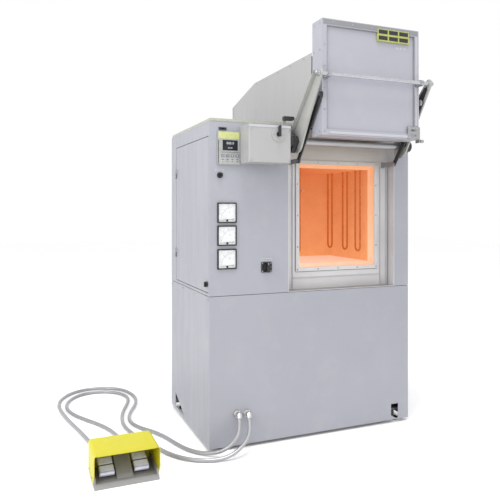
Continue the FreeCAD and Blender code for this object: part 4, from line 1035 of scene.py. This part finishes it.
def foot_switch_trim():
    bm = bmesh.new()
    for x, out in ((-1110, -1), (-836, 1)):
        for y in (-455, -365):
            screw(bm, "x", (x, y, 28), out, 3.6)
    for x in (-1085, -861):
        screw(bm, "y", (x, -327, 118), 1, 3.2)
    for x in (-1002, -950):
        screw(bm, "z", (x, -346, 74), 1, 3.2)
    piece("foot_switch_screws", bm, "root", "zinc_steel")
    bm = bmesh.new()
    for i in range(5):
        x = -1000 + 12 * i
        slab(bm, x - 2.5, x + 2.5, -475, -362, 73.4, 75.6, 0.4)
    bmesh.ops.transform(bm, matrix=tilted(WEDGE_TOP, WEDGE_SLOPE), verts=bm.verts)
    for i in range(3):
        slab(bm, -1099, -847, -496 + 7 * i, -492.5 + 7 * i, PLATE_TOP - 0.1, PLATE_TOP + 1.2, 0.3)
    piece("foot_switch_ribs", bm, "root", "foot_grey")
    bm = bmesh.new()
    slab(bm, -1096, -850, -518.2, -515.5, 134, 140.1, 0.6)
    piece("guard_lip", bm, "root", "guard_yellow")


dress_cad_nodes()
armoured_hose("armoured_hose_1", HOSE_1)
armoured_hose("armoured_hose_2", HOSE_2)
controller_marks()
for meter_number, meter_z in enumerate(METER_ZS, start=1):
    meter_scale(meter_number, meter_z)
switch_marks()
cabinet_screws()
louvres()
lid_trim()
gland_nuts()
mouth_trim()
hood_trim()
drive_trim()
arm_trim()
door_trim()
pedal_treads("pedal_left", -1049.0)
pedal_treads("pedal_right", -903.0)
foot_switch_trim()


# ---- stage, lights, camera ----
def stage_floor():
    bm = bmesh.new()
    bmesh.ops.create_grid(bm, x_segments=1, y_segments=1, size=14)
    mesh = bpy.data.meshes.new("floor")
    bm.to_mesh(mesh)
    bm.free()
    material, _, bsdf = shader("floor_white")
    bsdf.inputs["Base Color"].default_value = (0.93, 0.93, 0.935, 1)
    bsdf.inputs["Roughness"].default_value = 0.9
    bsdf.inputs["Emission Color"].default_value = (1, 1, 1, 1)
    bsdf.inputs["Emission Strength"].default_value = 0.05
    mesh.materials.append(material)
    floor = bpy.data.objects.new("floor", mesh)
    floor.location = (0, 4, -0.0005)
    bpy.context.scene.collection.objects.link(floor)


def area_light(name, spot, target, size, power):
    data = bpy.data.lights.new(name, "AREA")
    data.size = size
    data.energy = power
    lamp = bpy.data.objects.new(name, data)
    lamp.location = spot
    lamp.rotation_euler = (Vector(target) - Vector(spot)).to_track_quat("-Z", "Y").to_euler()
    bpy.context.scene.collection.objects.link(lamp)


def studio():
    world = bpy.data.worlds.new("studio")
    bpy.context.scene.world = world
    world.use_nodes = True
    world.node_tree.nodes["Background"].inputs["Color"].default_value = (1, 1, 1, 1)
    world.node_tree.nodes["Background"].inputs["Strength"].default_value = 1.0
    area_light("key_left", (-4.2, -1.6, 3.2), (0, 0, 0.9), 3.0, 110)
    area_light("fill_front", (0.6, -5.2, 2.6), (0, 0, 1.0), 3.0, 30)
    area_light("top", (-0.6, -1.6, 5.2), (0, -0.3, 0.8), 1.6, 110)
    bpy.context.scene.view_settings.view_transform = "Standard"


def camera():
    data = bpy.data.cameras.new("camera")
    data.lens = 41.19
    data.sensor_width = 36.0
    data.shift_y = -0.0802
    holder = bpy.data.objects.new("camera", data)
    holder.location = (-1.3958, -2.9001, 1.1385)
    holder.rotation_euler = (math.radians(90), 0, math.radians(-22.12))
    bpy.context.scene.collection.objects.link(holder)
    bpy.context.scene.camera = holder


stage_floor()
studio()
camera()
